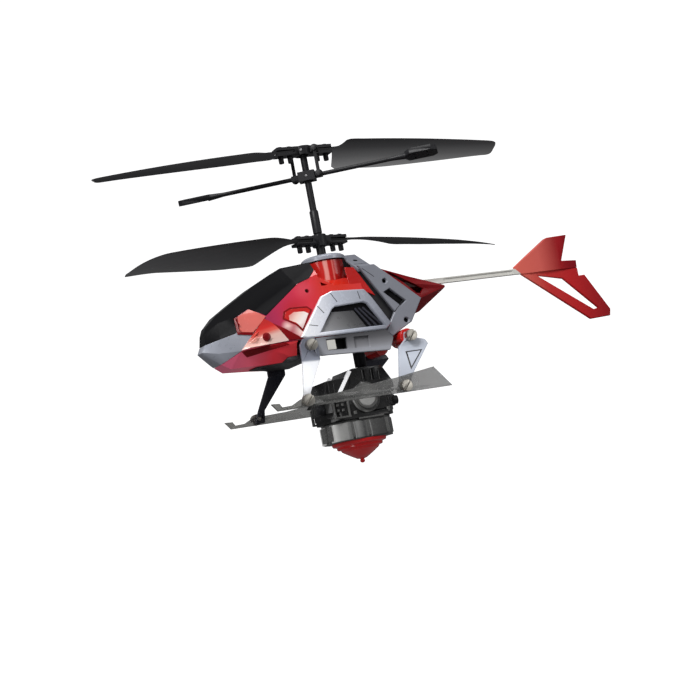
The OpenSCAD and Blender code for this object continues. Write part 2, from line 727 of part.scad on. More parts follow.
// Arm along the bar with a sideways stud for a link, on one end
module link_stud_arm(half_h) {
    translate([2.8, -1.4, -half_h]) cube([4, 2.8, 2 * half_h]);
    translate([link_arm, -1.3, 0]) rotate([90, 0, 0]) cylinder(r = 0.8, h = 2.2);
    translate([link_arm, -3.3, 0]) rotate([90, 0, 0]) cylinder(r = 1.2, h = 0.6);
}

// Slot for the shaft, long enough for the teeter, and the bore of the pivot pin
module teeter_cut() {
    translate([-2.4, -inner_r - 0.1, -5]) cube([4.8, 2 * inner_r + 0.2, 10]);
    cross_pin(0, 0, 0.5 + run_gap, -6, 6);
}

module upper_hub() {
    color([0.07, 0.07, 0.08]) in_upper_rotor() difference() {
        grip_bar() {
            translate([0, 0, -hub_half_h]) cylinder(r = 3.9, h = 2 * hub_half_h);
            in_bar_frame() for (a = [0, 180]) rotate(a) link_stud_arm(1.3);
        }
        in_bar_frame() teeter_cut();
    }
}

// Bar with its hub block, tapered arms and pierced paddles
module flybar() {
    color([0.08, 0.08, 0.09]) translate([0, 0, flybar_z]) in_bar_frame() difference() {
        union() {
            translate([-3.7, -3, -2.1]) cube([7.4, 6, 4.2]);
            for (a = [0, 180]) rotate(a) {
                link_stud_arm(1.2);
                translate([6.7, 0, 0]) rotate([0, 90, 0]) cylinder(r = 0.95, h = flybar_r - 22);
                translate([flybar_r - 20, 0, 0]) rotate([0, 90, 0])
                    cylinder(r1 = 0.95, r2 = 1.5, h = 7);
                rotate([-15, 0, 0]) paddle();
            }
        }
        teeter_cut();
    }
}

// Flat weight at the end of the bar, with four pin holes
module paddle() {
    translate([flybar_r - 14, 0, -1]) difference() {
        linear_extrude(2.4) polygon([[0, -1.2], [2, -3.4], [11.6, -3.4], [14, -2], [14, 2],
            [12, 3.4], [1.4, 3.4], [0, 1.4]]);
        for (x = [4.2, 9.6], y = [-1.7, 1.7]) translate([x, y, -1]) cylinder(r = 0.5, h = 4);
    }
}

// Upright link between a stud of the bar and a stud of the upper hub
module flybar_link(turn) {
    color([0.1, 0.1, 0.11]) in_bar_frame() rotate(turn)
        translate([link_arm, -link_off + link_w / 2, flybar_z]) rotate([90, 0, 0]) difference() {
            union() {
                for (z = [0, upper_z - flybar_z]) translate([0, z, 0])
                    cylinder(r = 1.7, h = link_w);
                translate([-0.7, 0, 0]) cube([1.4, upper_z - flybar_z, link_w]);
            }
            for (z = [0, upper_z - flybar_z]) translate([0, z, -1])
                cylinder(r = 0.8 + run_gap, h = 4);
        }
}
module flybar_link_front() { flybar_link(0); }
module flybar_link_rear() { flybar_link(180); }

// ---------- drop pod ----------

// Column under the floor with a socket for the pod's stem
module pod_holder() {
    color([0.07, 0.07, 0.08]) translate([stem_x, 0, 0]) difference() {
        union() {
            translate([0, 0, holder_z]) cylinder(r = 2.6, h = floor_z - holder_z);
            translate([-3.4, -3.4, floor_z - 1.6]) cube([6.8, 6.8, 1.6]);
        }
        translate([0, 0, holder_z - 1]) cylinder(r = stem_r + run_gap, h = 7.4);
    }
}

// Eight-sided plan of the pod at half length a and half width b
module pod_plan(a, b, c) {
    polygon([[a, b - c], [a - c, b], [c - a, b], [-a, b - c], [-a, c - b], [c - a, -b],
        [a - c, -b], [a, c - b]]);
}

// Upper housing: a low front box, a raised rear box, a ledge and the stem
module pod_body() {
    color([0.1, 0.1, 0.105]) difference() {
        union() {
            translate([pod_x, 0, -6.4]) linear_extrude(1.8) pod_plan(14.6, 12.2, 4.4);
            translate([pod_x, 0, -4.7]) linear_extrude(2.4) pod_plan(15.4, 11.4, 4.4);
            translate([pod_x, 0, -2.4]) linear_extrude(6.9) pod_plan(16, 11.4, 4);
            across([[15, 4.4], [14, 10.8], [2.6, 11.2], [0.8, pod_top_z], [-12.6, pod_top_z],
                [-16.4, 8], [-16.8, 4.4]], -10.4, 10.4);
            translate([stem_x, 0, pod_top_z - 0.1]) cylinder(r = stem_r, h = 7.2);
        }
        for (s = [-1, 1]) {
            y0 = s > 0 ? 9.6 : -14;
            y1 = s > 0 ? 14 : -9.6;
            across([[3.8, 5], [6.2, 5], [4, 11.6], [1.9, 13]], y0, y1);
            for (x = [-4.4, -8.4]) across([[x, 7.6], [x + 0.7, 7.6], [x + 0.7, 13.4], [x, 13.4]],
                y0 * 1.02, y1 * 1.02);
            cross_pin(pod_x - 1.4, 1.8, 4.9, s > 0 ? 10.6 : -14, s > 0 ? 14 : -10.6);
        }
    }
}

// Drum with upright panels round its sides
module pod_drum() {
    color([0.36, 0.36, 0.37]) translate([pod_x, 0, -15]) {
        linear_extrude(8.5) pod_plan(13.4, 11, 4.4);
        for (x = [-7, 0, 7]) translate([x - 2.6, -11.8, 1]) cube([5.2, 23.6, 6.4]);
        for (y = [-3.4, 3.4]) translate([-14.2, y - 2.4, 1]) cube([28.4, 4.8, 6.4]);
    }
}

// Stepped red cone with a small nub on its tip
module pod_cone() {
    color([0.7, 0.04, 0.05]) translate([pod_x, 0, 0]) rotate_extrude()
        polygon([[0, -15], [11.8, -15], [11.4, -16.4], [10, -16.6], [9.8, -17.8], [8.4, -18],
            [8, -18.8], [2, -22.6], [0.8, -22.8], [1.1, 1 - pod_tip], [0.7, 0.2 - pod_tip],
            [0, -pod_tip]]);
}

// Round lens-like covers with a thin outer flange, one on each side
module pod_lens() {
    color([0.3, 0.3, 0.31]) for (s = [-1, 1]) translate([pod_x - 1.4, s * 10.6, 1.8])
        rotate([-90 * s, 0, 0]) difference() {
            union() {
                cylinder(r = 4.8, h = 2.4);
                translate([0, 0, 0.9]) cylinder(r = 5.8, h = 0.7);
            }
            translate([0, 0, 1.4]) tube(2.9, 3.9, 0, 3);
        }
}

// Ribbed knobs on the pod's ends
module pod_knobs() {
    color([0.08, 0.08, 0.09]) for (s = [-1, 1]) translate([pod_x + s * 16.1, 5, -0.6])
        rotate([0, 90 * s, 0]) {
            cylinder(r = 1.9, h = 2.6);
            cylinder(r = 2.4, h = 1.2);
        }
}

chassis();
keel();
canopy();
chin_fairing();
left_side_panel();
right_side_panel();
belly_pan();
cheek_plugs();
turret();
mast_ring();
left_bridge();
right_bridge();
left_lower_frame();
right_lower_frame();
rear_arch_frame();
rear_cone();
tail_boom();
upper_fin();
lower_fin();
left_skid();
right_skid();
left_front_strut();
right_front_strut();
left_rear_strut();
right_rear_strut();
rear_bosses();
slotted_screws();
mast_bearings();
battery();
circuit_board();
infrared_receiver();
charge_socket();
switch_body();
switch_slider();
front_motor();
rear_motor();
front_pinion();
rear_pinion();
pod_holder();
outer_shaft();
outer_gear();
lower_hub();
lower_blades();
lower_hub_bolts();
inner_shaft();
inner_gear();
shaft_sleeve();
teeter_pins();
upper_hub();
upper_blades();
upper_hub_bolts();
flybar();
flybar_link_front();
flybar_link_rear();
pod_body();
pod_drum();
pod_cone();
pod_lens();
pod_knobs();
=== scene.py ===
# Looks of the toy remote control helicopter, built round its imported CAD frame.
import json
import math

import bmesh
import bpy
from mathutils import Matrix, Vector
from mathutils.bvhtree import BVHTree
from mathutils.geometry import delaunay_2d_cdt

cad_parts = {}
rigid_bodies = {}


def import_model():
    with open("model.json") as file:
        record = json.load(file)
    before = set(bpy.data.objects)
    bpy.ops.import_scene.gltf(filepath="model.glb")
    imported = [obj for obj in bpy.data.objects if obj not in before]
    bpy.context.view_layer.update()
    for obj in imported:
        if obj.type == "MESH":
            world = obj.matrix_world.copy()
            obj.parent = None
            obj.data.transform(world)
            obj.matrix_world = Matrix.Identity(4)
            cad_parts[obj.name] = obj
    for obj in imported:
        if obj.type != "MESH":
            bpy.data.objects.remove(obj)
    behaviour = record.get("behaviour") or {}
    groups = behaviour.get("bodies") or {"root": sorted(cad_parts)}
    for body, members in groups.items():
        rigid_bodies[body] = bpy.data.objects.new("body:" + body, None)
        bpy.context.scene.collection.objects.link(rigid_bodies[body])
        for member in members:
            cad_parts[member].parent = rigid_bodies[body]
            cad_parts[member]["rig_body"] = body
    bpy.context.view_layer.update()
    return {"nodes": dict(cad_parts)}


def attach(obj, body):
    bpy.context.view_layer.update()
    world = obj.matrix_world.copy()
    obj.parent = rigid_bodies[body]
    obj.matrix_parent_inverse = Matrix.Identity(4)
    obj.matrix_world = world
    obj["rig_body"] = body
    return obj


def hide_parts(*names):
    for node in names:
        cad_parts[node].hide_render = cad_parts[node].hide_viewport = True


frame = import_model()
NODES = frame["nodes"]
MM = 0.001
# The two sides of the helicopter, each with the sign of its Y
SIDES = (("left", 1), ("right", -1))

# ---------------------------------------------------------------- materials


def new_material(name):
    """A material with its node tree and its principled shader."""
    m = bpy.data.materials.new(name)
    m.use_nodes = True
    nt = m.node_tree
    return m, nt, nt.nodes["Principled BSDF"]


def noise(nt, scale, detail=4.0, stretch=None, rough=0.55):
    """A noise texture in the object's own metres; stretch scales its axes."""
    coord = nt.nodes.new("ShaderNodeTexCoord")
    tex = nt.nodes.new("ShaderNodeTexNoise")
    tex.inputs["Scale"].default_value = scale
    tex.inputs["Detail"].default_value = detail
    tex.inputs["Roughness"].default_value = rough
    source = coord.outputs["Object"]
    if stretch:
        mapping = nt.nodes.new("ShaderNodeMapping")
        mapping.inputs["Scale"].default_value = stretch
        nt.links.new(source, mapping.inputs["Vector"])
        source = mapping.outputs["Vector"]
    nt.links.new(source, tex.inputs["Vector"])
    return tex.outputs["Fac"]


def ramp(nt, source, stops):
    """Colours over a 0 to 1 value; stops are (place, colour)."""
    node = nt.nodes.new("ShaderNodeValToRGB")
    band = node.color_ramp
    while len(band.elements) < len(stops):
        band.elements.new(0.5)
    for element, (place, colour) in zip(band.elements, stops):
        element.position = place
        element.color = (*colour, 1.0)
    nt.links.new(source, node.inputs["Fac"])
    return node.outputs["Color"]


def spread(nt, source, low, high, start=0.3, end=0.7):
    """Maps the values from start to end onto low to high."""
    node = nt.nodes.new("ShaderNodeMapRange")
    node.inputs["From Min"].default_value = start
    node.inputs["From Max"].default_value = end
    node.inputs["To Min"].default_value = low
    node.inputs["To Max"].default_value = high
    nt.links.new(source, node.inputs["Value"])
    return node.outputs["Result"]


def glow(material, strength):
    """Lets a pale material shine a little by itself, in its own base colour."""
    bsdf = material.node_tree.nodes["Principled BSDF"]
    tint = bsdf.inputs["Base Color"].links[0].from_socket
    material.node_tree.links.new(tint, bsdf.inputs["Emission Color"])
    bsdf.inputs["Emission Strength"].default_value = strength


def shade(colour, k):
    """The colour, k times as bright."""
    return tuple(min(1.0, max(0.0, c * k)) for c in colour)


def surface(name, colour, rough=0.35, smudge=0.08, mottle=0.12, grain=0.0, grain_scale=3500,
            coat=0.0, metal=0.0, clear=0.0, stretch=None, base=None, ior=1.46, wave=0.0):
    """Moulded or metal surface with uneven tone, smudged gloss and a fine grain."""
    m, nt, bsdf = new_material(name)
    bsdf.inputs["Metallic"].default_value = metal
    bsdf.inputs["IOR"].default_value = ior
    bsdf.inputs["Coat Weight"].default_value = coat
    bsdf.inputs["Coat Roughness"].default_value = 0.05
    bsdf.inputs["Transmission Weight"].default_value = clear
    tone = noise(nt, 110, 5.0, stretch)
    if base is None:
        tint = ramp(nt, tone, [(0.25, shade(colour, 1 - mottle)), (0.5, colour),
                               (0.78, shade(colour, 1 + mottle))])
    else:
        tint = base(nt, tone)
    nt.links.new(tint, bsdf.inputs["Base Color"])
    gloss = noise(nt, 420, 6.0, stretch, 0.7)
    nt.links.new(spread(nt, gloss, max(0.02, rough - smudge), rough + smudge),
                 bsdf.inputs["Roughness"])
    bump = None
    for strength, scale, depth in ((grain, grain_scale, 0.03 * MM), (wave, 90, 0.12 * MM)):
        if strength:
            node = nt.nodes.new("ShaderNodeBump")
            node.inputs["Strength"].default_value = strength
            node.inputs["Distance"].default_value = depth
            nt.links.new(noise(nt, scale, 3.0, stretch), node.inputs["Height"])
            if bump:
                nt.links.new(bump, node.inputs["Normal"])
            bump = node.outputs["Normal"]
    if bump:
        nt.links.new(bump, bsdf.inputs["Normal"])
    return m


def along(way, start, end, stops):
    """Colour that changes along a direction of the object's axes, from start to end in mm."""
    way = {"X": (1, 0, 0), "Y": (0, 1, 0), "Z": (0, 0, 1)}.get(way, way)

    def build(nt, tone):
        coord = nt.nodes.new("ShaderNodeTexCoord")
        dot = nt.nodes.new("ShaderNodeVectorMath")
        dot.operation = "DOT_PRODUCT"
        dot.inputs[1].default_value = way
        nt.links.new(coord.outputs["Object"], dot.inputs[0])
        place = spread(nt, dot.outputs["Value"], 0.0, 1.0, start * MM, end * MM)
        mix = nt.nodes.new("ShaderNodeMath")
        mix.operation = "MULTIPLY_ADD"
        mix.inputs[1].default_value = 0.06
        nt.links.new(tone, mix.inputs[0])
        nt.links.new(place, mix.inputs[2])
        shift = nt.nodes.new("ShaderNodeMath")
        shift.operation = "SUBTRACT"
        shift.inputs[1].default_value = 0.03
        nt.links.new(mix.outputs[0], shift.inputs[0])
        return ramp(nt, shift.outputs[0], stops)
    return build


def painted_light_patches(base, spots):
    """Soft patches of painted highlight and shade over a base colour, each (x, z, radius, colour,
    strength) in mm.
    """
    def build(nt, tone):
        tint = base(nt, tone)
        coord = nt.nodes.new("ShaderNodeTexCoord")
        flat = nt.nodes.new("ShaderNodeVectorMath")
        flat.operation = "MULTIPLY"
        flat.inputs[1].default_value = (1, 0, 1)
        nt.links.new(coord.outputs["Object"], flat.inputs[0])
        for x, z, radius, colour, strength in spots:
            gap = nt.nodes.new("ShaderNodeVectorMath")
            gap.operation = "DISTANCE"
            gap.inputs[1].default_value = (x * MM, 0, z * MM)
            nt.links.new(flat.outputs[0], gap.inputs[0])
            fade = nt.nodes.new("ShaderNodeMapRange")
            fade.interpolation_type = "SMOOTHSTEP"
            fade.inputs["From Max"].default_value = radius * MM
            fade.inputs["To Min"].default_value = strength
            fade.inputs["To Max"].default_value = 0.0
            nt.links.new(gap.outputs["Value"], fade.inputs["Value"])
            mix = nt.nodes.new("ShaderNodeMix")
            mix.data_type = "RGBA"
            nt.links.new(fade.outputs["Result"], mix.inputs[0])
            nt.links.new(tint, mix.inputs[6])
            mix.inputs[7].default_value = (*colour, 1.0)
            tint = mix.outputs[2]
        return tint
    return build


LENGTHWISE = (0.12, 1.0, 1.0)
SILVER = (0.38, 0.4, 0.46)
MAT = {
    # The canopy's faint lighter bands along its slope are painted reflections.
    "gloss_black": surface("canopy_black", (0.012, 0.012, 0.014), 0.2, 0.05, 0.3, ior=1.08,
                           wave=0.1, base=along((0.476, 0, 0.879), 40, 62, [
                               (0.0, (0.012, 0.014, 0.019)), (0.3, (0.016, 0.019, 0.026)),
                               (0.5, (0.009, 0.009, 0.01)), (0.62, (0.012, 0.012, 0.013)),
                               (0.66, (0.02, 0.02, 0.021)), (0.78, (0.015, 0.015, 0.016)),
                               (0.82, (0.009, 0.009, 0.01)), (1.0, (0.012, 0.012, 0.013))])),
    "gloss_red": surface("gloss_red", (0.58, 0.012, 0.01), 0.16, 0.06, 0.1, coat=0.4, ior=1.4,
                         wave=0.1),
    # The red side panel's colour is painted light: it darkens and turns purple towards the nose as
    # painted shade, and its soft patches are painted highlights and shade, the whitish ones low down
    # painted reflections.
    "panel_red": surface("panel_red", (0.6, 0.02, 0.03), 0.17, 0.05, 0.1, coat=0.4, ior=1.4,
                         wave=0.12, base=painted_light_patches(
        along("X", 10, 48, [(0.0, (0.66, 0.03, 0.03)), (0.3, (0.66, 0.03, 0.07)),
                            (0.5, (0.5, 0.022, 0.08)), (0.75, (0.3, 0.014, 0.07)),
                            (1.0, (0.2, 0.01, 0.03))]),
        [(24, 41, 9, (0.5, 0.008, 0.01), 0.75), (2, 51, 13, (0.64, 0.02, 0.006), 0.95),
         (18, 50, 6, (0.78, 0.09, 0.13), 0.5), (23, 32.5, 5.5, (1.0, 0.8, 0.74), 0.9),
         (28.6, 35, 3.2, (1.0, 0.72, 0.66), 0.8), (39, 34, 6, (0.6, 0.02, 0.016), 0.8)])),
    # The turret's colour across it, seen from the camera's side, is painted light: painted shade
    # towards its sides and two upright painted highlight stripes.
    "turret_red": surface("turret_red", (0.5, 0.012, 0.01), 0.2, 0.05, 0.1, coat=0.3, ior=1.4,
                          base=along((-0.904, 0.427, 0), -9, 9, [
                              (0.0, (0.3, 0.006, 0.006)), (0.2, (0.56, 0.014, 0.01)),
                              (0.46, (0.6, 0.02, 0.016)), (0.5, (0.86, 0.36, 0.32)),
                              (0.57, (0.84, 0.32, 0.28)), (0.6, (0.56, 0.014, 0.012)),
                              (0.67, (0.54, 0.014, 0.012)), (0.7, (0.76, 0.2, 0.17)),
                              (0.73, (0.5, 0.012, 0.01)), (0.86, (0.24, 0.005, 0.005)),
                              (1.0, (0.5, 0.014, 0.01))])),
    "dark_red": surface("dark_red", (0.22, 0.005, 0.008), 0.24, 0.07, 0.2, ior=1.3, wave=0.1),
    "cone_red": surface("cone_red", (0.62, 0.014, 0.016), 0.2, 0.06, 0.15, coat=0.5),
    "belly_red": surface("belly_red", (0.5, 0.1, 0.1), 0.2, 0.06, 0.15, coat=0.1, ior=1.25,
                         base=along("X", 26, 54, [(0.0, (0.46, 0.03, 0.035)),
                                                  (0.35, (0.56, 0.03, 0.045)),
                                                  (0.7, (0.6, 0.09, 0.14)),
                                                  (1.0, (0.5, 0.09, 0.16))])),
    # A painted highlight on the cheek facet, near white low down and red higher up.
    "cheek_painted_highlight": surface("cheek_painted_highlight", (0.8, 0.3, 0.26), 0.14, 0.05, 0.08, coat=0.4,
                            base=along((0.2, 0, 0.98), 35, 44.6, [
                                (0.0, (0.96, 0.7, 0.64)), (0.4, (0.96, 0.6, 0.52)),
                                (0.6, (0.78, 0.12, 0.09)), (0.8, (0.62, 0.016, 0.012)),
                                (1.0, (0.5, 0.012, 0.01))])),
    # A painted sheen, pale pink to near white, inside the V recess on the red panel.
    "painted_sheen": surface("pearl_sheen", (0.9, 0.7, 0.66), 0.16, 0.05, 0.06, coat=0.4,
                     base=along((0.7, 0, 0.7), 38, 46, [(0.0, (0.86, 0.5, 0.46)),
                                                        (0.4, (0.95, 0.85, 0.82)),
                                                        (0.7, (0.95, 0.7, 0.62)),
                                                        (1.0, (0.8, 0.34, 0.3))])),
    "coral": surface("coral_badge", (0.68, 0.14, 0.115), 0.24, 0.06, 0.08, coat=0.3),
    "silver_plastic": surface("silver_plastic", SILVER, 0.3, 0.06, 0.04, 0.04, 5200, coat=0.2,
                              metal=0.15),
    # The bridge's silver is painted light: dark at its rear end as painted shade, near white at its
    # front leg as a painted highlight.
    "bridge_silver": surface("bridge_silver", SILVER, 0.26, 0.06, 0.04, 0.04, 5200, coat=0.3,
                             metal=0.1, base=along("X", -17, 22, [
                                 (0.0, (0.2, 0.21, 0.25)), (0.3, (0.36, 0.38, 0.44)),
                                 (0.6, (0.52, 0.55, 0.63)), (0.78, (0.78, 0.8, 0.87)),
                                 (1.0, (0.95, 0.96, 1.0))])),
    # Painted shade for recesses: near black, fading to grey along one slant.
    "recess_grey": surface("recess_grey", (0.2, 0.2, 0.21), 0.3, 0.06, 0.06, coat=0.3,
                           base=along((0.8, 0, -0.6), -26, -8, [
                               (0.0, (0.03, 0.03, 0.034)), (0.35, (0.1, 0.1, 0.105)),
                               (1.0, (0.36, 0.36, 0.37))])),
    "grey_plastic": surface("grey_plastic", (0.24, 0.25, 0.29), 0.32, 0.06, 0.05, 0.05, 5200,
                            coat=0.2, metal=0.1),
    # Painted light on the near lower frame: shade darkening it towards the top, and a pale painted
    # highlight patch.
    "rail_grey": surface("rail_grey", (0.2, 0.2, 0.22), 0.32, 0.06, 0.05, 0.05, 5200,
                         coat=0.2, ior=1.3, base=painted_light_patches(along("Z", 21, 29, [
                             (0.0, (0.4, 0.41, 0.45)), (0.25, (0.26, 0.26, 0.28)),
                             (0.6, (0.12, 0.12, 0.13)), (1.0, (0.05, 0.05, 0.055))]),
                             [(17, 25, 9, (0.4, 0.41, 0.45), 0.8)])),
    "matte_black": surface("matte_black", (0.014, 0.014, 0.016), 0.42, 0.1, 0.3, 0.2, 3800,
                           ior=1.35),
    # Near black for pits and grooves, and as painted shade on sheets set behind openings and under
    # parts.
    "shade_and_pit_black": surface("shade_and_pit_black", (0.004, 0.004, 0.005), 0.6, 0.1, 0.3, ior=1.2),
    "cream_strip": surface("cream_strip", (0.72, 0.71, 0.66), 0.4, 0.08, 0.08, 0.2, 2500,
                           stretch=LENGTHWISE),
    # Both fins are painted with shade that darkens them towards their rear edges.
    "fin_red": surface("fin_red", (0.5, 0.03, 0.04), 0.3, 0.06, 0.14, wave=0.08, ior=1.12,
                       base=along("X", -126, -94, [(0.0, (0.2, 0.006, 0.012)),
                                                   (0.25, (0.3, 0.01, 0.014)),
                                                   (0.6, (0.6, 0.11, 0.09)),
                                                   (1.0, (0.66, 0.13, 0.1))])),
    "fin_dark": surface("fin_dark", (0.3, 0.01, 0.02), 0.3, 0.06, 0.14, wave=0.08, ior=1.12,
                        base=along("X", -140, -97, [(0.0, (0.24, 0.008, 0.012)),
                                                    (0.4, (0.46, 0.015, 0.018)),
                                                    (0.7, (0.5, 0.03, 0.03)),
                                                    (1.0, (0.66, 0.13, 0.1))])),
    "smoke_plastic": surface("smoke_plastic", (0.3, 0.3, 0.3), 0.12, 0.06, 0.1, 0.04,
                             clear=0.62, coat=0.3, ior=1.2,
                             base=along("X", -34, 46, [(0.0, (0.36, 0.36, 0.36)),
                                                       (0.4, (0.3, 0.3, 0.295)),
                                                       (1.0, (0.22, 0.22, 0.21))])),
    "pale_plastic": surface("pale_plastic", (0.7, 0.71, 0.73), 0.12, 0.05, 0.06, clear=0.4,
                            coat=0.4, wave=0.1, ior=1.25,
                            base=along("Z", 4, 26, [(0.0, (0.5, 0.5, 0.52)),
                                                    (0.2, (0.84, 0.85, 0.87)),
                                                    (0.66, (0.86, 0.87, 0.9)),
                                                    (0.7, (0.3, 0.32, 0.38)),
                                                    (1.0, (0.2, 0.21, 0.26))])),
    "strut_silver": surface("strut_silver", (0.5, 0.53, 0.6), 0.22, 0.06, 0.05, coat=0.3,
                            wave=0.1, base=along("Z", 2, 24, [(0.0, (0.36, 0.38, 0.44)),
                                                              (0.6, (0.56, 0.6, 0.68)),
                                                              (1.0, (0.42, 0.45, 0.52))])),
    "navy_plastic": surface("navy_plastic", (0.03, 0.031, 0.044), 0.28, 0.08, 0.2, coat=0.2,
                            ior=1.35),
    "screw_metal": surface("screw_metal", (0.4, 0.38, 0.34), 0.34, 0.12, 0.2, 0.2, 2600,
                           metal=0.9),
    "bearing_metal": surface("bearing_metal", (0.55, 0.55, 0.56), 0.24, 0.08, 0.1, 0.1, 3000,
                             metal=1.0),
    "cell_foil": surface("cell_foil", (0.6, 0.61, 0.63), 0.35, 0.1, 0.1, metal=0.85, wave=0.5),
    "board_green": surface("board_green", (0.012, 0.12, 0.035), 0.3, 0.08, 0.25, 0.2, 2200,
                           coat=0.3),
    "gear_white": surface("gear_white", (0.72, 0.71, 0.66), 0.36, 0.08, 0.08, 0.15, 2800),
    "brass_metal": surface("brass_metal", (0.66, 0.47, 0.18), 0.28, 0.08, 0.12, 0.1, 3000,
                           metal=1.0),
    # The blades' tones are painted light and shade: the lower blades grow lighter towards their
    # trailing edges, the upper ones lighter lower down, and a darker material on their top faces is
    # painted shade.
    "blade_black": surface("blade_black", (0.045, 0.045, 0.047), 0.42, 0.08, 0.2, 0.08, 2400,
                           stretch=LENGTHWISE, wave=0.1, ior=1.3,
                           base=along("Z", 63, 73, [(0.0, (0.1, 0.1, 0.102)),
                                                    (0.5, (0.06, 0.06, 0.062)),
                                                    (1.0, (0.03, 0.03, 0.031))])),
    "blade_upper": surface("blade_upper", (0.06, 0.06, 0.062), 0.42, 0.08, 0.2, 0.08, 2400,
                           stretch=LENGTHWISE, wave=0.1, ior=1.3,
                           base=along((0, -0.7, -0.7), -85, -66, [
                               (0.0, (0.02, 0.02, 0.021)), (0.3, (0.05, 0.05, 0.052)),
                               (0.6, (0.13, 0.13, 0.132)), (1.0, (0.3, 0.3, 0.302))])),
    "blade_top_shade": surface("blade_top_shade", (0.014, 0.014, 0.015), 0.5, 0.08, 0.25, 0.08, 2400,
                         stretch=LENGTHWISE, wave=0.1, ior=1.05),
    "pod_black": surface("pod_black", (0.016, 0.016, 0.016), 0.24, 0.07, 0.2, 0.08, 4200,
                         coat=0.2, ior=1.4),
    "pod_grey": surface("pod_grey", (0.11, 0.11, 0.106), 0.28, 0.08, 0.15, 0.08, 4200,
                        coat=0.2),
    # The pod's side panels carry painted light: dark and bright bands across them as painted shade and
    # highlights, ending near white at the front edge.
    "pod_panel": surface("pod_panel", (0.15, 0.15, 0.145), 0.26, 0.07, 0.12, 0.06, 4200,
                         coat=0.3, base=along("X", -10, 13.5, [
                             (0.0, (0.03, 0.03, 0.03)), (0.3, (0.07, 0.07, 0.068)),
                             (0.37, (0.16, 0.16, 0.155)), (0.46, (0.05, 0.05, 0.05)),
                             (0.6, (0.24, 0.24, 0.235)), (0.69, (0.1, 0.1, 0.1)),
                             (0.78, (0.2, 0.2, 0.195)), (0.9, (0.34, 0.34, 0.33)),
                             (1.0, (0.75, 0.75, 0.73))])),
    "dial_grey": surface("dial_grey", (0.34, 0.34, 0.33), 0.25, 0.06, 0.08, coat=0.3),
    "stripe_white": surface("stripe_white", (0.85, 0.85, 0.86), 0.25, 0.06, 0.05, coat=0.3),
}

# How much each of these shines by itself
GLOW = {"stripe_white": 0.5, "dial_grey": 0.12, "pod_panel": 0.12, "bridge_silver": 0.16,
        "fin_red": 0.12, "fin_dark": 0.12, "blade_upper": 0.4, "blade_black": 0.35,
        "strut_silver": 0.1, "belly_red": 0.3, "pale_plastic": 0.15, "cone_red": 0.1}
for key, strength in GLOW.items():
    glow(MAT[key], strength)

# ---------------------------------------------------------------- mesh helpers


def finish_piece(ob, material, body, replaced=(), bevel=0.0, segments=2, smooth=32):
    """Gives a mesh object its material, bevel and smooth faces, and puts it on its body."""
    me = ob.data
    me.materials.clear()
    me.materials.append(MAT[material])
    for p in me.polygons:
        p.use_smooth = True
    me.set_sharp_from_angle(angle=math.radians(smooth))
    if bevel:
        mod = ob.modifiers.new("soft_edges", "BEVEL")
        mod.width = bevel * MM
        mod.segments = segments
        mod.limit_method = "ANGLE"
        mod.angle_limit = math.radians(24)
        mod.harden_normals = True
        mod.miter_outer = "MITER_ARC"
    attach(ob, body)
    if replaced:
        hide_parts(*replaced)
    return ob


def object_from(bm, name):
    """Turns a bmesh into an object of the scene and frees the bmesh."""
    bmesh.ops.recalc_face_normals(bm, faces=bm.faces)
    me = bpy.data.meshes.new(name)
    bm.to_mesh(me)
    bm.free()
    ob = bpy.data.objects.new(name, me)
    bpy.context.scene.collection.objects.link(ob)
    return ob


def clean_copy(node):
    """The CAD node's mesh as a bmesh with its split corners welded."""
    bm = bmesh.new()
    bm.from_mesh(NODES[node].data)
    bmesh.ops.remove_doubles(bm, verts=bm.verts, dist=0.002 * MM)
    return bm


def skin(node, material, bevel=0.2, segments=2, smooth=32):
    """Bevelled copy of a CAD node that is shown in its place."""
    ob = object_from(clean_copy(node), node + "_skin")
    finish_piece(ob, material, NODES[node]["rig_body"], [node],
                 bevel, segments, smooth)


def add_lathe(bm, profile, place, segments=48):
    """Turns (radius, height) points in mm about the Z axis of place."""
    rings = []
    for r, z in profile:
        if r < 1e-6:
            rings.append([bm.verts.new(place @ Vector((0, 0, z * MM)))])
        else:
            rings.append([bm.verts.new(place @ Vector((
                r * MM * math.cos(2 * math.pi * i / segments),
                r * MM * math.sin(2 * math.pi * i / segments), z * MM)))
                for i in range(segments)])
    for a, b in zip(rings, rings[1:]):
        for i in range(segments):
            j = (i + 1) % segments
            if len(a) == 1 and len(b) == 1:
                continue
            if len(a) == 1:
                bm.faces.new((a[0], b[j], b[i]))
            elif len(b) == 1:
                bm.faces.new((a[i], a[j], b[0]))
            else:
                bm.faces.new((a[i], a[j], b[j], b[i]))


def add_prism(bm, outline, y0, y1, place=None):
    """Outline of (x, z) points in mm, drawn out along Y from y0 to y1."""
    m = place or Matrix()
    near = [bm.verts.new(m @ Vector((x * MM, y0 * MM, z * MM))) for x, z in outline]
    far = [bm.verts.new(m @ Vector((x * MM, y1 * MM, z * MM))) for x, z in outline]
    n = len(outline)
    bm.faces.new(near)
    bm.faces.new(list(reversed(far)))
    for i in range(n):
        j = (i + 1) % n
        bm.faces.new((near[i], far[i], far[j], near[j]))


def inset(outline, d):
    """Outline of (x, z) points moved inwards by d, with mitred corners."""
    n = len(outline)
    area = sum(outline[i][0] * outline[(i + 1) % n][1] - outline[(i + 1) % n][0] * outline[i][1]
               for i in range(n))
    side = 1 if area > 0 else -1
    out = []
    for i in range(n):
        p, q, r = (Vector(outline[(i + k) % n]) for k in (-1, 0, 1))
        a, b = (q - p).normalized(), (r - q).normalized()
        na, nb = Vector((-a.y, a.x)) * side, Vector((-b.y, b.x)) * side
        out.append(tuple(q + (na + nb) * (d / max(0.3, 1 + na.dot(nb)))))
    return out


def round_hole(x, z, r, count=20):
    """Circle of (x, z) points."""
    return [(x + r * math.cos(2 * math.pi * i / count), z + r * math.sin(2 * math.pi * i / count))
            for i in range(count)]


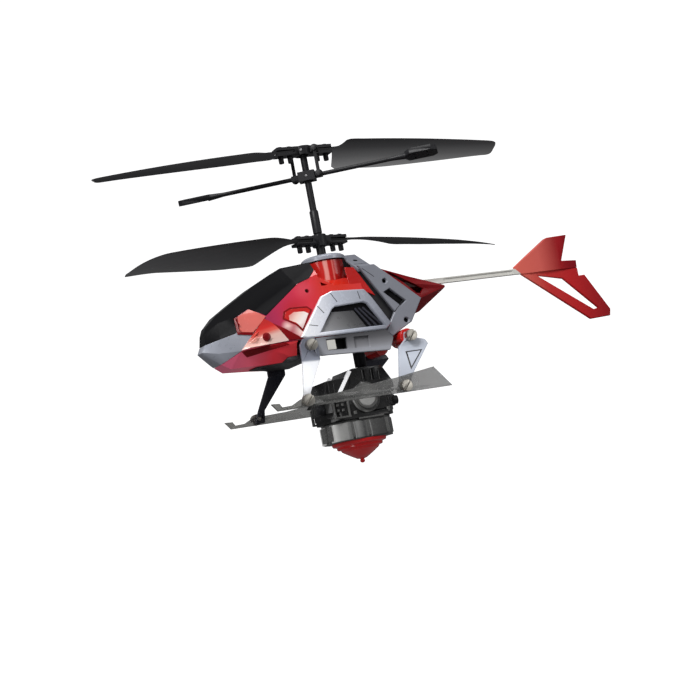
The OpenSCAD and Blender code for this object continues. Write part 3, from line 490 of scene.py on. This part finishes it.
def add_plate(bm, outline, holes, back, front, edge=0.3):
    """Plate across Y with a chamfered front and holes right through it."""
    step = math.copysign(edge, front - back)
    loops = []
    for k, ring in enumerate([outline] + list(holes)):
        lip = inset(ring, -edge if k else edge)
        rows = [[bm.verts.new((x * MM, y * MM, z * MM)) for x, z in points]
                for points, y in ((ring, back), (ring, front - step), (lip, front))]
        n = len(ring)
        for a, b in zip(rows, rows[1:]):
            for i in range(n):
                bm.faces.new((a[i], a[(i + 1) % n], b[(i + 1) % n], b[i]))
        loops.append(rows)
    for row in (0, 2):
        rings = [rows[row] for rows in loops]
        if len(rings) == 1:
            bm.faces.new(rings[0])
            continue
        flat = [v for ring in rings for v in ring]
        faces, first = [], 0
        for ring in rings:
            faces.append(list(range(first, first + len(ring))))
            first += len(ring)
        made = delaunay_2d_cdt([Vector((v.co.x, v.co.z)) / MM for v in flat], [], faces, 5, 1e-5)
        spot_of = [flat[of[0]] if of else bm.verts.new((at.x * MM, flat[0].co.y, at.y * MM))
                   for at, of in zip(made[0], made[3])]
        for face in made[2]:
            bm.faces.new([spot_of[i] for i in face])


def add_stroke(bm, a, b, width, back, front):
    """Narrow bar across Y between two (x, z) points."""
    a, b = Vector(a), Vector(b)
    n = Vector((-(b - a).y, (b - a).x)).normalized() * width / 2
    add_plate(bm, [tuple(a + n), tuple(b + n), tuple(b - n), tuple(a - n)], [], back, front,
              min(0.12, width / 4))


def plates(name, material, body, items, replaced=(), smooth=15):
    """One object from (outline, holes, back, front, chamfer) plates."""
    bm = bmesh.new()
    for item in items:
        add_plate(bm, *item)
    finish_piece(object_from(bm, name), material, body, replaced, smooth=smooth)


def strokes(name, material, body, items, back, front):
    """One object from (start, end, width) bars across Y."""
    bm = bmesh.new()
    for a, b, width in items:
        add_stroke(bm, a, b, width, back, front)
    finish_piece(object_from(bm, name), material, body, smooth=15)


def add_block(bm, lo, hi, place=None):
    """Block between two opposite (x, y, z) corners in mm."""
    add_prism(bm, [(lo[0], lo[2]), (hi[0], lo[2]), (hi[0], hi[2]), (lo[0], hi[2])], lo[1], hi[1],
              place)


def spot(x, y, z, turn=0.0, tip=0.0):
    """Place at a point in mm, turned about Z and then tipped about its own X, in degrees."""
    return (Matrix.Translation((x * MM, y * MM, z * MM)) @ Matrix.Rotation(math.radians(turn), 4, "Z")
            @ Matrix.Rotation(math.radians(tip), 4, "X"))


_trees = {}


def hit(node, x, z, side, start=40):
    """Height over the centre plane, in mm, where a ray along Y first meets a CAD node."""
    if node not in _trees:
        bm = bmesh.new()
        bm.from_mesh(NODES[node].data)
        _trees[node] = BVHTree.FromBMesh(bm)
        bm.free()
    where = _trees[node].ray_cast(Vector((x * MM, side * start * MM, z * MM)),
                                  Vector((0, -side, 0)))[0]
    return abs(where.y) / MM if where else None


def drape(name, nodes, outline, material, body, lift=0.15, depth=0.5, side=1, bevel=0.06):
    """Thin plate that follows the side of some CAD nodes under an outline of (x, z) points."""
    bm = bmesh.new()
    bm.faces.new([bm.verts.new((x * MM, 0, z * MM)) for x, z in outline])
    bmesh.ops.triangulate(bm, faces=bm.faces)
    for _ in range(3):
        bmesh.ops.subdivide_edges(bm, edges=bm.edges, cuts=1, use_grid_fill=True)
    last = None
    for v in bm.verts:
        found = [y for y in (hit(n, v.co.x / MM, v.co.z / MM, side) for n in nodes) if y]
        last = max(found) if found else last
        v.co.y = side * ((last or 10) + lift) * MM
    grown = bmesh.ops.extrude_face_region(bm, geom=list(bm.faces))
    for v in [g for g in grown["geom"] if isinstance(g, bmesh.types.BMVert)]:
        v.co.y -= side * (depth + lift) * MM
    finish_piece(object_from(bm, name), material, body, bevel=bevel, smooth=20)


# ---------------------------------------------------------------- rotors

UPPER_R, LOWER_R = 95, 92
LOWER_Z, UPPER_Z = 72.4, 112.6
LOWER_TURN = 9.6
LOWER_DROOP, UPPER_DROOP = 6, 6.5
DROOP_POWER = 1.6
# Distances of the hub bolts from the mast
BOLT_AT = (6.4, 10.7)
# Points over the upper face of a blade's section, and rings along its length
CHORD_STEPS, SPAN_STEPS = 12, 68
# Height of the section's bow, as a share of the chord
BOW = 0.14
# Blade stations: fraction of the radius, then chord, leading edge, pitch and thickness
LOWER_BLADE = [(0.053, 4.6, 2.3, 0, 1.1), (0.125, 4.6, 2.3, 2, 1.1), (0.165, 6, 3, 10, 1.05),
               (0.22, 13, 4.6, 17, 0.95), (0.265, 17.8, 5.4, 21, 0.9),
               (0.3, 19.9, 5.6, 23.3, 0.85), (0.4, 19.7, 5.6, 23.6, 0.8),
               (0.5, 19, 5.6, 23.7, 0.78), (0.7, 16.1, 5.6, 23, 0.7),
               (0.8, 14.5, 5.6, 22.1, 0.64), (0.85, 13.5, 5.4, 21.6, 0.6),
               (0.91, 11.2, 3.6, 21.2, 0.55), (0.96, 7.6, 0.2, 21, 0.5),
               (1, 2.2, -4.9, 21, 0.4)]
UPPER_BLADE = [(0.052, 4.6, 2.3, 0, 1.1), (0.12, 4.6, 2.3, 2, 1.1), (0.155, 5.0, 2.5, 8, 1.05),
               (0.17, 7, 2.8, 12, 1.0), (0.187, 15.4, 3.5, 20, 0.94), (0.2, 18.6, 5.6, 23, 0.92),
               (0.215, 20.1, 6.7, 25, 0.9), (0.3, 19.8, 6.8, 25.3, 0.84),
               (0.45, 19, 6.8, 25.6, 0.78), (0.7, 15.1, 6.8, 25.7, 0.7),
               (0.95, 10.2, 6.8, 25.1, 0.56), (0.975, 9.6, 6.6, 25.1, 0.52),
               (0.99, 8.4, 6, 25.1, 0.48), (0.997, 6.8, 5.1, 25.1, 0.44),
               (1, 4.6, 3.8, 25.1, 0.4)]


def curve_at(stations, u):
    """Station values at radius fraction u, on a smooth curve through the stations."""
    k = max(i for i, s in enumerate(stations) if s[0] <= u + 1e-9)
    k = min(k, len(stations) - 2)
    p = [stations[max(0, min(len(stations) - 1, k + d))] for d in (-1, 0, 1, 2)]
    span = p[2][0] - p[1][0]
    t = (u - p[1][0]) / span
    out = []
    for c in range(1, 5):
        m1 = (p[2][c] - p[0][c]) / max(1e-6, p[2][0] - p[0][0]) * span
        m2 = (p[3][c] - p[1][c]) / max(1e-6, p[3][0] - p[1][0]) * span
        t2, t3 = t * t, t * t * t
        out.append((2 * t3 - 3 * t2 + 1) * p[1][c] + (t3 - 2 * t2 + t) * m1
                   + (3 * t2 - 2 * t3) * p[2][c] + (t3 - t2) * m2)
    return out


def eased(steps):
    """Values from 0 to 1 that lie closer together towards both ends."""
    return [(1 - math.cos(math.pi * i / steps)) / 2 for i in range(steps + 1)]


def add_blade(bm, stations, tip_r, droop, place, flip):
    """Twisted blade along X; flip is -1 for the rotor that turns the other way."""
    first, last = stations[0][0], stations[-1][0]
    spans = [first + (last - first) * share for share in eased(SPAN_STEPS)]
    upper = eased(CHORD_STEPS)
    rings = []
    for u in spans:
        chord, lead, pitch, thick = curve_at(stations, min(u, last))
        a = math.radians(pitch)
        drop = droop * u ** DROOP_POWER
        ring = []
        for face, cs in ((1, upper), (-1, upper[-2:0:-1])):
            for c in cs:
                y = lead - c * chord
                bow = BOW * chord * c * (1 - c)
                body = thick * min(1, 2.2 * math.sqrt(max(0, c))) * min(1, (1 - c) * 5) / 2
                z = bow + 0.35 * thick + face * body
                y2 = y * math.cos(a) - z * math.sin(a)
                z2 = y * math.sin(a) + z * math.cos(a)
                ring.append(bm.verts.new(place @ Vector((
                    u * tip_r * MM, flip * y2 * MM, (z2 - drop) * MM))))
        rings.append(ring)
    n = len(rings[0])
    for a, b in zip(rings, rings[1:]):
        for i in range(n):
            j = (i + 1) % n
            bm.faces.new((a[i], a[j], b[j], b[i]))
    bm.faces.new(rings[0])
    bm.faces.new(list(reversed(rings[-1])))


def make_blades(name, stations, tip_r, droop, z, turn, flip, body, node, finish):
    """Both blades of a rotor, with painted shade darkening their top faces."""
    bm = bmesh.new()
    for a in (0, 180):
        add_blade(bm, stations, tip_r, droop, spot(0, 0, z, turn + a), flip)
    ob = finish_piece(object_from(bm, name), finish, body, [node], smooth=50)
    ob.data.materials.append(MAT["blade_top_shade"])
    for p in ob.data.polygons:
        p.material_index = 1 if p.normal.z > 0 else 0


make_blades("lower_blades_skin", LOWER_BLADE, LOWER_R, LOWER_DROOP, LOWER_Z, LOWER_TURN, 1,
            "lower_rotor", "lower_blades", "blade_black")
make_blades("upper_blades_skin", UPPER_BLADE, UPPER_R, UPPER_DROOP, UPPER_Z, 0, -1,
            "upper_rotor", "upper_blades", "blade_upper")


def make_bolts(name, z, turn, body, node):
    """The four headed bolts of a rotor hub, in one object."""
    bm = bmesh.new()
    for x in (-BOLT_AT[1], -BOLT_AT[0], BOLT_AT[0], BOLT_AT[1]):
        at = spot(0, 0, z, turn) @ spot(x, 0, 0)
        add_lathe(bm, [(0, 2.7), (0.5, 2.7), (0.6, 2.45), (0.62, 2.2), (1.1, 2.25), (1.3, 2.45),
                       (1.35, 2.3), (1.35, 1.9), (0.8, 1.9), (0.8, -1.9), (1.15, -1.9),
                       (1.15, -4.5), (1.0, -4.82), (0.7, -4.9), (0, -4.9)], at, 32)
    finish_piece(object_from(bm, name), "matte_black", body, [node])


make_bolts("lower_bolts_skin", LOWER_Z, LOWER_TURN, "lower_rotor", "lower_hub_bolts")
make_bolts("upper_bolts_skin", UPPER_Z, 0, "upper_rotor", "upper_hub_bolts")
skin("lower_hub", "matte_black", 0.35)
skin("upper_hub", "matte_black", 0.35)
skin("flybar", "matte_black", 0.3)
skin("flybar_link_front", "matte_black", 0.2)
skin("flybar_link_rear", "matte_black", 0.2)


def make_lathe(name, profile, material, body, nodes=(), at=None, segments=64, cut=None):
    """Turned piece; cut is the X in mm past which its tail side is sliced away."""
    bm = bmesh.new()
    add_lathe(bm, profile, at or Matrix(), segments)
    if cut is not None:
        bmesh.ops.bisect_plane(bm, geom=bm.verts[:] + bm.edges[:] + bm.faces[:],
                               plane_co=(cut * MM, 0, 0), plane_no=(-1, 0, 0), clear_outer=True)
        bmesh.ops.holes_fill(bm, edges=[e for e in bm.edges if e.is_boundary])
    finish_piece(object_from(bm, name), material, body, nodes)


make_lathe("outer_shaft_skin", [(1.6, 41.6), (2, 41.6), (2, 75), (1.8, 75.2), (1.6, 75.2)],
           "matte_black", "lower_rotor", ["outer_shaft"])
make_lathe("shaft_sleeve_skin", [(1.5, 75.6), (1.8, 75.6), (1.95, 75.8), (1.95, 85.4),
                                 (1.75, 85.8), (1.5, 85.8)], "matte_black", "mast",
           ["shaft_sleeve"])
make_lathe("inner_shaft_skin", [(0, 24.4), (1.3, 24.4), (1.5, 24.6), (1.5, 113.6), (1.3, 113.9),
                                (0, 113.9)], "matte_black", "mast",
           ["inner_shaft"])

# ---------------------------------------------------------------- cabin

skin("canopy", "gloss_black", 0.3, segments=3, smooth=26)
skin("chin_fairing", "silver_plastic", 0.25)
# Outlines of (x, z) points in mm on the cabin's sides: the bridge and its opening, the arm of
# the rear arch and its window, the coral badge, the V recess on the red panel, whose rim is
# painted shade, and the painted sheen inside it. The _IN and _OUT values are how far out the
# plates' inner and outer faces lie.
BRIDGE_IN, BRIDGE_OUT = 16.9, 18.7
BRIDGE = [(24.4, 29.6), (12.4, 45.4), (7.4, 47.1), (-7.6, 46.3), (-10.4, 42.8), (-17.4, 30.6),
          (-14.6, 28.4), (22, 28.9)]
OPENING = [(15.8, 30.4), (8.8, 39.4), (7.2, 40.4), (-6.2, 41), (-7.8, 40.2), (-14, 30.2)]
ARM_IN, ARM_OUT = 14.6, 16.2
ARM = [(-8, 57), (-15.8, 56.9), (-35, 40), (-28.4, 30.4), (-22.3, 27.4), (-18.2, 25.2),
       (-15.6, 27.6), (-21.2, 35.6)]
WINDOW = [(-17.7, 44.4), (-20.8, 45.7), (-27.4, 39.7), (-24.6, 37.8)]
CORAL = [(47.6, 42.2), (41.9, 45), (36.5, 40.6), (43.2, 34.7), (48.1, 35.7)]
RECESS_V = [(29.9, 38.4), (28.6, 41.6), (25.8, 42.8), (18.4, 42.4), (16.6, 40.6), (22.8, 31.9),
           (25.2, 35)]
SHEEN_V = [(27, 39.4), (24.8, 40.6), (20.3, 40.3), (18.7, 39.2), (22.8, 33.1), (24.8, 36),
           (27.2, 37.5)]
for n, s in SIDES:
    skin(n + "_side_panel", "panel_red", 0.22, smooth=20)
    shell = [n + "_side_panel", "canopy", "chin_fairing"]
    drape(n + "_coral_badge", shell, CORAL, "coral", "airframe", 0.5, 0.6, s)
    drape(n + "_coral_edge", shell, [(48.9, 42), (47.6, 42.2), (48.1, 35.7), (43.2, 34.7),
                                     (43.6, 33.7), (49.2, 34.9)], "dark_red", "airframe",
          0.44, 0.6, s)
    # The cheek's facets take painted light: a highlight on the front one and painted shade on the rear
    # and lower ones.
    drape(n + "_cheek_front", shell, [(37.6, 39.9), (34.9, 37.7), (29.4, 29.1), (48.9, 28.1)],
          "cheek_painted_highlight", "airframe", 0.5, 0.6, s)
    drape(n + "_cheek_rear", shell, [(34.8, 37.5), (22.9, 28.9), (29.2, 29.2)], "dark_red",
          "airframe", 0.42, 0.6, s)
    drape(n + "_cheek_under", shell + ["belly_pan"],
          [(48.9, 27.8), (31.2, 28.8), (29.4, 27.4), (46.4, 25.2)], "dark_red", "airframe",
          0.4, 0.6, s)
    # The V recess: a dark rim of painted shade, a red field, and a painted sheen inside.
    drape(n + "_panel_shade_rim", shell, RECESS_V, "dark_red", "airframe", 0.12, 0.4, s)
    drape(n + "_panel_field", shell, inset(RECESS_V, 0.7), "gloss_red", "airframe",
          0.2, 0.4, s)
    drape(n + "_panel_sheen", shell, SHEEN_V, "painted_sheen", "airframe", 0.28, 0.4, s)
    plates(n + "_bridge_skin", "bridge_silver", "airframe",
           [(BRIDGE, [OPENING], s * BRIDGE_IN, s * BRIDGE_OUT, 0.4)], [n + "_bridge"])
    # Behind the bridge's opening, a floor graded from near black to grey and a black sheet paint the
    # shade of its hollow.
    plates(n + "_bridge_floor", "recess_grey", "airframe",
           [([(15.6, 30.5), (8.6, 38.4), (-1.4, 38), (-6.2, 30.3)], [], s * BRIDGE_IN, s * 17.3, 0.15)])
    plates(n + "_bridge_pit", "shade_and_pit_black", "airframe",
           [(inset(OPENING, -0.3), [], s * 16.7, s * 17, 0.1)])
    strokes(n + "_bridge_slats", "navy_plastic", "airframe",
            [((-2.2 - k, 38.8), (-8.2 - k * 1.5, 30.4), 0.9) for k in (0, 1.8, 3.6)],
            s * BRIDGE_IN, s * 17.5)
    strokes(n + "_bridge_lines", "shade_and_pit_black", "airframe",
            [((8.3, 46.3), (5.9, 42.2), 0.36), ((-4.2, 45.8), (-4.9, 42.2), 0.36),
             ((15.2, 41.5), (12.7, 38.2), 0.42), ((20.4, 34.1), (16.4, 33.2), 0.3)],
            s * 18.6, s * 18.76)
    plates(n + "_arch_skin", "grey_plastic", "airframe",
           [(ARM, [WINDOW, round_hole(-19.1, 49.2, 1), round_hole(-25.9, 31.4, 1.1)],
             s * ARM_IN, s * ARM_OUT, 0.3)], ["rear_arch_frame"])
    # A black sheet behind the arch's holes, painted shade seen through them.
    plates(n + "_arch_hole_shade", "shade_and_pit_black", "airframe",
           [(inset(ARM, 0.8), [], s * 14.1, s * 14.7, 0.1)])
    strokes(n + "_arch_lines", "matte_black", "airframe",
            [((-9.6, 55.6), (-14.6, 51.4), 0.3), ((-20.9, 35.4), (-26.4, 40.2), 0.3)],
            s * 16.1, s * 16.26)
    # The arch's inner face, coloured black as painted shade.
    plates(n + "_arch_inner", "matte_black", "airframe",
           [([(-7.2, 55.6), (-11.4, 55.6), (-22, 38), (-21.4, 35.4), (-18.6, 31.6),
              (-14.4, 39.6)], [],
             s * 12.6, s * 14.2, 0.3)])
    plates(n + "_arch_gusset", "gloss_red", "airframe",
           [([(-2.4, 57.1), (-6.5, 56.7), (-9, 52.7), (-14.2, 43.6), (-11.3, 45.2), (-4.6, 46.2),
              (-3.1, 50)], [], s * 14.2, s * 14.7, 0.05)])
    plates(n + "_arch_shadow", "shade_and_pit_black", "airframe",
           [([(-4.9, 61.7), (-8.4, 58.2), (-8.5, 56.4), (-4.9, 57)], [],
             s * 8.7, s * 9.3, 0.15)])
    # The arch's roof slopes down sideways from the mast, at a tip of 30.2 degrees
    roof = Matrix.Diagonal((1, s, 1, 1)) @ spot(0, 0, 65, 0, -30.2)
    bm = bmesh.new()
    add_block(bm, (-15.6, 0, -1.6), (-8, 18.2, 0), roof)
    finish_piece(object_from(bm, n + "_arch_roof"), "grey_plastic", "airframe",
                 ["rear_arch_frame"], 0.3, 3)
    bm = bmesh.new()
    add_lathe(bm, [(0, 0.04), (1, 0.04), (1.05, -0.2), (0, -0.2)], roof @ spot(-11.8, 8, 0), 24)
    add_block(bm, (-14.8, 12.6, -0.2), (-8.8, 12.85, 0.05), roof)
    finish_piece(object_from(bm, n + "_arch_roof_marks"), "shade_and_pit_black", "airframe")
skin("left_lower_frame", "rail_grey", 0.28, segments=3)
skin("right_lower_frame", "grey_plastic", 0.28, segments=3)
skin("belly_pan", "belly_red", 0.2, smooth=20)
skin("keel", "matte_black", 0.3)
skin("rear_cone", "dark_red", 0.25)
make_lathe("turret_skin", [(7.6, 50.6), (9, 50.6), (9, 53), (8.8, 53.2), (9, 53.4), (9, 62.1),
                           (8.7, 62.4), (3.6, 62.4), (3.6, 61), (7.6, 61), (7.6, 50.6)],
           "turret_red", "airframe", ["turret"])
make_lathe("mast_ring_skin", [(3.5, 62.6), (9.5, 62.6), (9.6, 62.7), (9.6, 64), (9.4, 64.3),
                              (8.5, 64.9), (8.2, 65.05), (4.9, 65.3), (4.6, 65.3), (4.4, 65.1),
                              (3.5, 65.1), (3.5, 62.6)], "silver_plastic", "airframe",
           ["mast_ring"], cut=-7.7)
# A near black disc under the ring, painted shade on its underside.
make_lathe("mast_ring_shade", [(3.6, 62.4), (9.5, 62.4), (9.5, 62.59), (3.6, 62.59),
                                   (3.6, 62.4)], "shade_and_pit_black", "airframe",
           cut=-7.7)
skin("tail_boom", "cream_strip", 0.2)
skin("upper_fin", "fin_red", 0.25, smooth=40)
plates("lower_fin_skin", "fin_dark", "airframe",
       [([(-96.8, 47.3), (-127, 47.3), (-127, 43.7), (-130.2, 43.8), (-140.4, 26.4),
          (-139.6, 23.4), (-128.8, 23)],
         [[(-104.4, 46.1), (-118.2, 43.2), (-134, 27.8), (-131.3, 27.3)]], -0.7, 0.7, 0.25)],
       ["lower_fin"])

# ---------------------------------------------------------------- landing gear

for n, s in SIDES:
    skin(n + "_skid", "smoke_plastic", 0.22)
# The near (left) struts take lighter colours than the far (right) ones.
skin("left_front_strut", "pale_plastic", 0.3, segments=3)
skin("right_front_strut", "navy_plastic", 0.3, segments=3)
skin("left_rear_strut", "strut_silver", 0.3, segments=3)
skin("right_rear_strut", "navy_plastic", 0.3, segments=3)
# Triangular marks on the rear struts, a groove and a raised field inside it; on the near side the
# groove's rim is painted shade.
for lift, material, tri in ((0.1, "recess_grey", [(-19.9, 17.5), (-28, 17.5), (-18.9, 9.2)]),
                            (0.3, "strut_silver", [(-20.5, 17), (-26.8, 17), (-19.7, 10.6)])):
    for n, s in SIDES:
        drape("%s_strut_mark_%d" % (n, lift * 10), [n + "_rear_strut"], tri,
              material if s > 0 else "navy_plastic", "airframe",
              lift, 0.2, s)
skin("rear_bosses", "gloss_red", 0.3)
skin("slotted_screws", "screw_metal", 0.16, smooth=40)
skin("cheek_plugs", "dark_red", 0.15)

# ---------------------------------------------------------------- drop pod

# How far out the raised marks on the pod's sides start, and the housing round its dial
POD_IN = 11
DIAL_X, DIAL_Z, HOUSING_R = -2.2, 2, 6.6
skin("pod_body", "pod_black", 0.3, segments=3)
skin("pod_drum", "pod_grey", 0.35, segments=3)
for n, s in SIDES:
    plates(n + "_pod_drum_panels", "pod_panel", "pod",
           [([(a, -7.5), (b, -7.5), (b - 0.2, -14.6), (a - 0.2, -14.6)], [], s * 10.6, s * 12, 0.4)
            for a, b in ((5.8, -0.6), (-1.6, -9.2))])
    bm = bmesh.new()
    # Section, seen from above, of the panel that wraps round the drum's front corner
    wrap = [(6.7, 12), (8.5, 12), (13, 7.3), (13, 3), (12.4, 3), (12.3, 6.9), (8, 11), (6.7, 11)]
    add_prism(bm, [(x, -s * y) for x, y in wrap], -14.7, -7.4, Matrix.Rotation(math.pi / 2, 4, "X"))
    finish_piece(object_from(bm, n + "_pod_drum_corner"), "pod_panel", "pod",
                 bevel=0.3, smooth=20)
    plates(n + "_pod_dial_housing", "pod_black", "pod",
           [([(-12.4, 8), (-12.4, -3), (-11, -4.2), (-2.2, -4.6)]
             + [(DIAL_X + HOUSING_R * math.sin(math.radians(a)),
                 DIAL_Z - HOUSING_R * math.cos(math.radians(a))) for a in range(15, 180, 15)]
             + [(DIAL_X, 8.6), (-11.6, 8.6)], [],
             s * 10.2, s * 11.9, 0.5)])
    plates(n + "_pod_channels", "pod_grey", "pod",
           [([(13.6, 1.2), (13.6, -5.6), (6, -5.6), (6, 1.2), (6.9, 1.2), (6.9, -4.7),
              (12.7, -4.7), (12.7, 1.2)], [], s * POD_IN, s * 12.4, 0.2),
            ([(4.4, -3.2), (4.4, -5.6), (-12.4, -5.6), (-12.4, -3.4), (-11, -3.4), (-11, -4.6),
              (3, -4.6), (3, -3.2)], [], s * POD_IN, s * 12.1, 0.25),
            ([(2.6, -6.2), (2.6, -7), (-9, -7), (-9, -6.2)], [], s * POD_IN, s * 12.3, 0.15),
            ([(15, 2.2), (13.9, 3.6), (12.8, 2.2), (11.7, 3.6), (10.6, 2.2), (10.6, 1.7),
              (15, 1.7)], [], s * POD_IN, s * 11.9, 0.1)])
    plates(n + "_pod_dots", "pod_grey", "pod",
           [([(x, z), (x - 1.1, z), (x - 1.1, z - 1.1), (x, z - 1.1)], [], s * POD_IN, s * 11.9, 0.2)
            for x, z in ((11.6, 0.6), (9.4, 0.6), (11.6, -1.6), (9.4, -1.6))])
    strokes(n + "_pod_stripe", "stripe_white", "pod",
            [((2.3, 13.8), (9, 4.9), 1.5)], s * 9.8, s * 11)
    strokes(n + "_pod_ribs", "pod_black", "pod",
            [((x, 13.4), (x + 0.2, 6.4), 0.5) for x in (-3.2, -7.4, -11)]
            + [((x, 10.2), (x + 0.1, 5), 0.4) for x in (13.2, 10.8)], s * 10, s * 10.9)
    # The dial's axis points outwards
    at = spot(-2.4, s * 10.6, 1.8, 0, -90 * s)
    make_lathe(n + "_pod_flange", [(5.6, 0), (6.3, 0), (6.4, 1.5), (6.2, 1.7), (5.9, 1.7),
                                   (5.7, 1.4), (5.6, 1.4), (5.6, 0)], "pod_panel", "pod",
               at=at)
    make_lathe(n + "_pod_dial_face", [(0, 1.5), (3.7, 1.5), (3.9, 1.7), (3.9, 2.2), (3.5, 2.5),
                                      (0.8, 2.62), (0, 2.62)], "dial_grey", "pod",
               at=at)
skin("pod_holder", "matte_black", 0.25)
skin("pod_lens", "pod_grey", 0.25)
skin("pod_knobs", "matte_black", 0.2)
make_lathe("pod_cone_skin", [(0, -15), (11.6, -15), (11.8, -15.2), (11.5, -16.2), (11.2, -16.4),
                             (10.1, -16.6), (9.9, -16.8), (9.8, -17.6), (9.5, -17.9),
                             (8.5, -18), (8.2, -18.3), (8, -18.8), (5, -20.8), (2.1, -22.5),
                             (1.2, -22.7), (0.8, -22.85), (1.0, -23.2), (1.1, -23.6),
                             (0.9, -24.1), (0.5, -24.4), (0, -24.5)], "cone_red", "pod",
           ["pod_cone"], spot(-1, 0, 0), 72)

# CAD nodes that stay as they are and only take a finish
CARRIED = {"chassis": "matte_black", "mast_bearings": "bearing_metal", "battery": "cell_foil",
           "circuit_board": "board_green", "infrared_receiver": "gloss_black",
           "charge_socket": "matte_black", "switch_body": "matte_black",
           "switch_slider": "gear_white", "front_motor": "bearing_metal",
           "rear_motor": "bearing_metal", "front_pinion": "brass_metal",
           "rear_pinion": "brass_metal", "outer_gear": "gear_white", "inner_gear": "gear_white",
           "teeter_pins": "bearing_metal"}
for node, material in CARRIED.items():
    NODES[node].data.materials.clear()
    NODES[node].data.materials.append(MAT[material])

# ---------------------------------------------------------------- stage, light and camera

FLOOR_Z = -200
FLAT_R, BEND_R, WALL_TOP = 2200, 1200, 2600
bm = bmesh.new()
profile = [(r, FLOOR_Z) for r in (1, 400, 1200, FLAT_R)]
profile += [(FLAT_R + BEND_R * math.sin(math.radians(a)),
             FLOOR_Z + BEND_R * (1 - math.cos(math.radians(a)))) for a in range(10, 91, 10)]
profile.append((FLAT_R + BEND_R, WALL_TOP))
add_lathe(bm, profile, Matrix(), 96)
floor = object_from(bm, "studio_sweep")
for p in floor.data.polygons:
    p.use_smooth = True
floor_mat, nt, bsdf = new_material("studio_white")
nt.links.new(ramp(nt, noise(nt, 0.7, 2.0), [(0.3, (0.9, 0.9, 0.9)), (0.7, (0.94, 0.94, 0.94))]),
             bsdf.inputs["Base Color"])
bsdf.inputs["Roughness"].default_value = 0.9
bsdf.inputs["Specular IOR Level"].default_value = 0.1
bsdf.inputs["Emission Color"].default_value = (1, 1, 1, 1)
bsdf.inputs["Emission Strength"].default_value = 0.85
floor.data.materials.append(floor_mat)
floor.visible_glossy = False
floor.visible_diffuse = False
floor.visible_transmission = True


def area_light(name, place, power, size, aim=(0, 0, 0.045)):
    """Rectangular light at a place in metres, turned to the aim."""
    data = bpy.data.lights.new(name, "AREA")
    data.energy = power
    data.shape = "RECTANGLE"
    data.size, data.size_y = size
    ob = bpy.data.objects.new(name, data)
    ob.location = place
    ob.rotation_mode = "QUATERNION"
    ob.rotation_quaternion = (Vector(place) - Vector(aim)).to_track_quat("Z", "Y")
    bpy.context.scene.collection.objects.link(ob)


area_light("key", (0.75, 0.75, 1.0), 15, (0.5, 0.5))
area_light("side", (-0.9, 1.1, 0.35), 2.6, (0.4, 0.9))
area_light("front", (1.2, 0.7, 0.1), 2.4, (0.3, 0.8))
area_light("top", (-0.2, 0.1, 1.5), 5, (0.6, 0.6))

world = bpy.data.worlds.new("studio")
world.use_nodes = True
nt = world.node_tree
coord = nt.nodes.new("ShaderNodeTexCoord")
split = nt.nodes.new("ShaderNodeSeparateXYZ")
nt.links.new(coord.outputs["Generated"], split.inputs["Vector"])
nt.links.new(ramp(nt, spread(nt, split.outputs["Z"], 0, 1, -1, 1),
                  [(0.2, (0.34, 0.34, 0.35)), (0.47, (0.16, 0.16, 0.17)),
                   (0.55, (0.3, 0.3, 0.31)), (0.8, (0.75, 0.75, 0.76))]),
             nt.nodes["Background"].inputs["Color"])
nt.nodes["Background"].inputs["Strength"].default_value = 0.5
bpy.context.scene.world = world
bpy.context.scene.view_settings.view_transform = "Standard"

# Viewing angles, the point looked past and the distance from it in metres
AZ, EL, ROLL = (math.radians(d) for d in (154.71, -8.32, -10.67))
TARGET = Vector((0, 0, 0.0489))
DISTANCE = 0.67276
FOCAL_LENGTH = 80.64
SHIFT = (0.0298, -0.08)
back = Vector((math.sin(AZ) * math.cos(EL), -math.cos(AZ) * math.cos(EL), math.sin(EL)))
right0 = (-back).cross(Vector((0, 0, 1))).normalized()
up0 = right0.cross(-back)
right = math.cos(ROLL) * right0 + math.sin(ROLL) * up0
up = -math.sin(ROLL) * right0 + math.cos(ROLL) * up0
cam_data = bpy.data.cameras.new("camera")
cam_data.lens = FOCAL_LENGTH
cam_data.sensor_width = 36
cam_data.shift_x, cam_data.shift_y = SHIFT
cam_data.clip_start = 0.01
cam = bpy.data.objects.new("camera", cam_data)
cam.matrix_world = Matrix.Translation(TARGET + back * DISTANCE) @ Matrix(
    (right, up, back)).transposed().to_4x4()
bpy.context.scene.collection.objects.link(cam)
bpy.context.scene.camera = cam
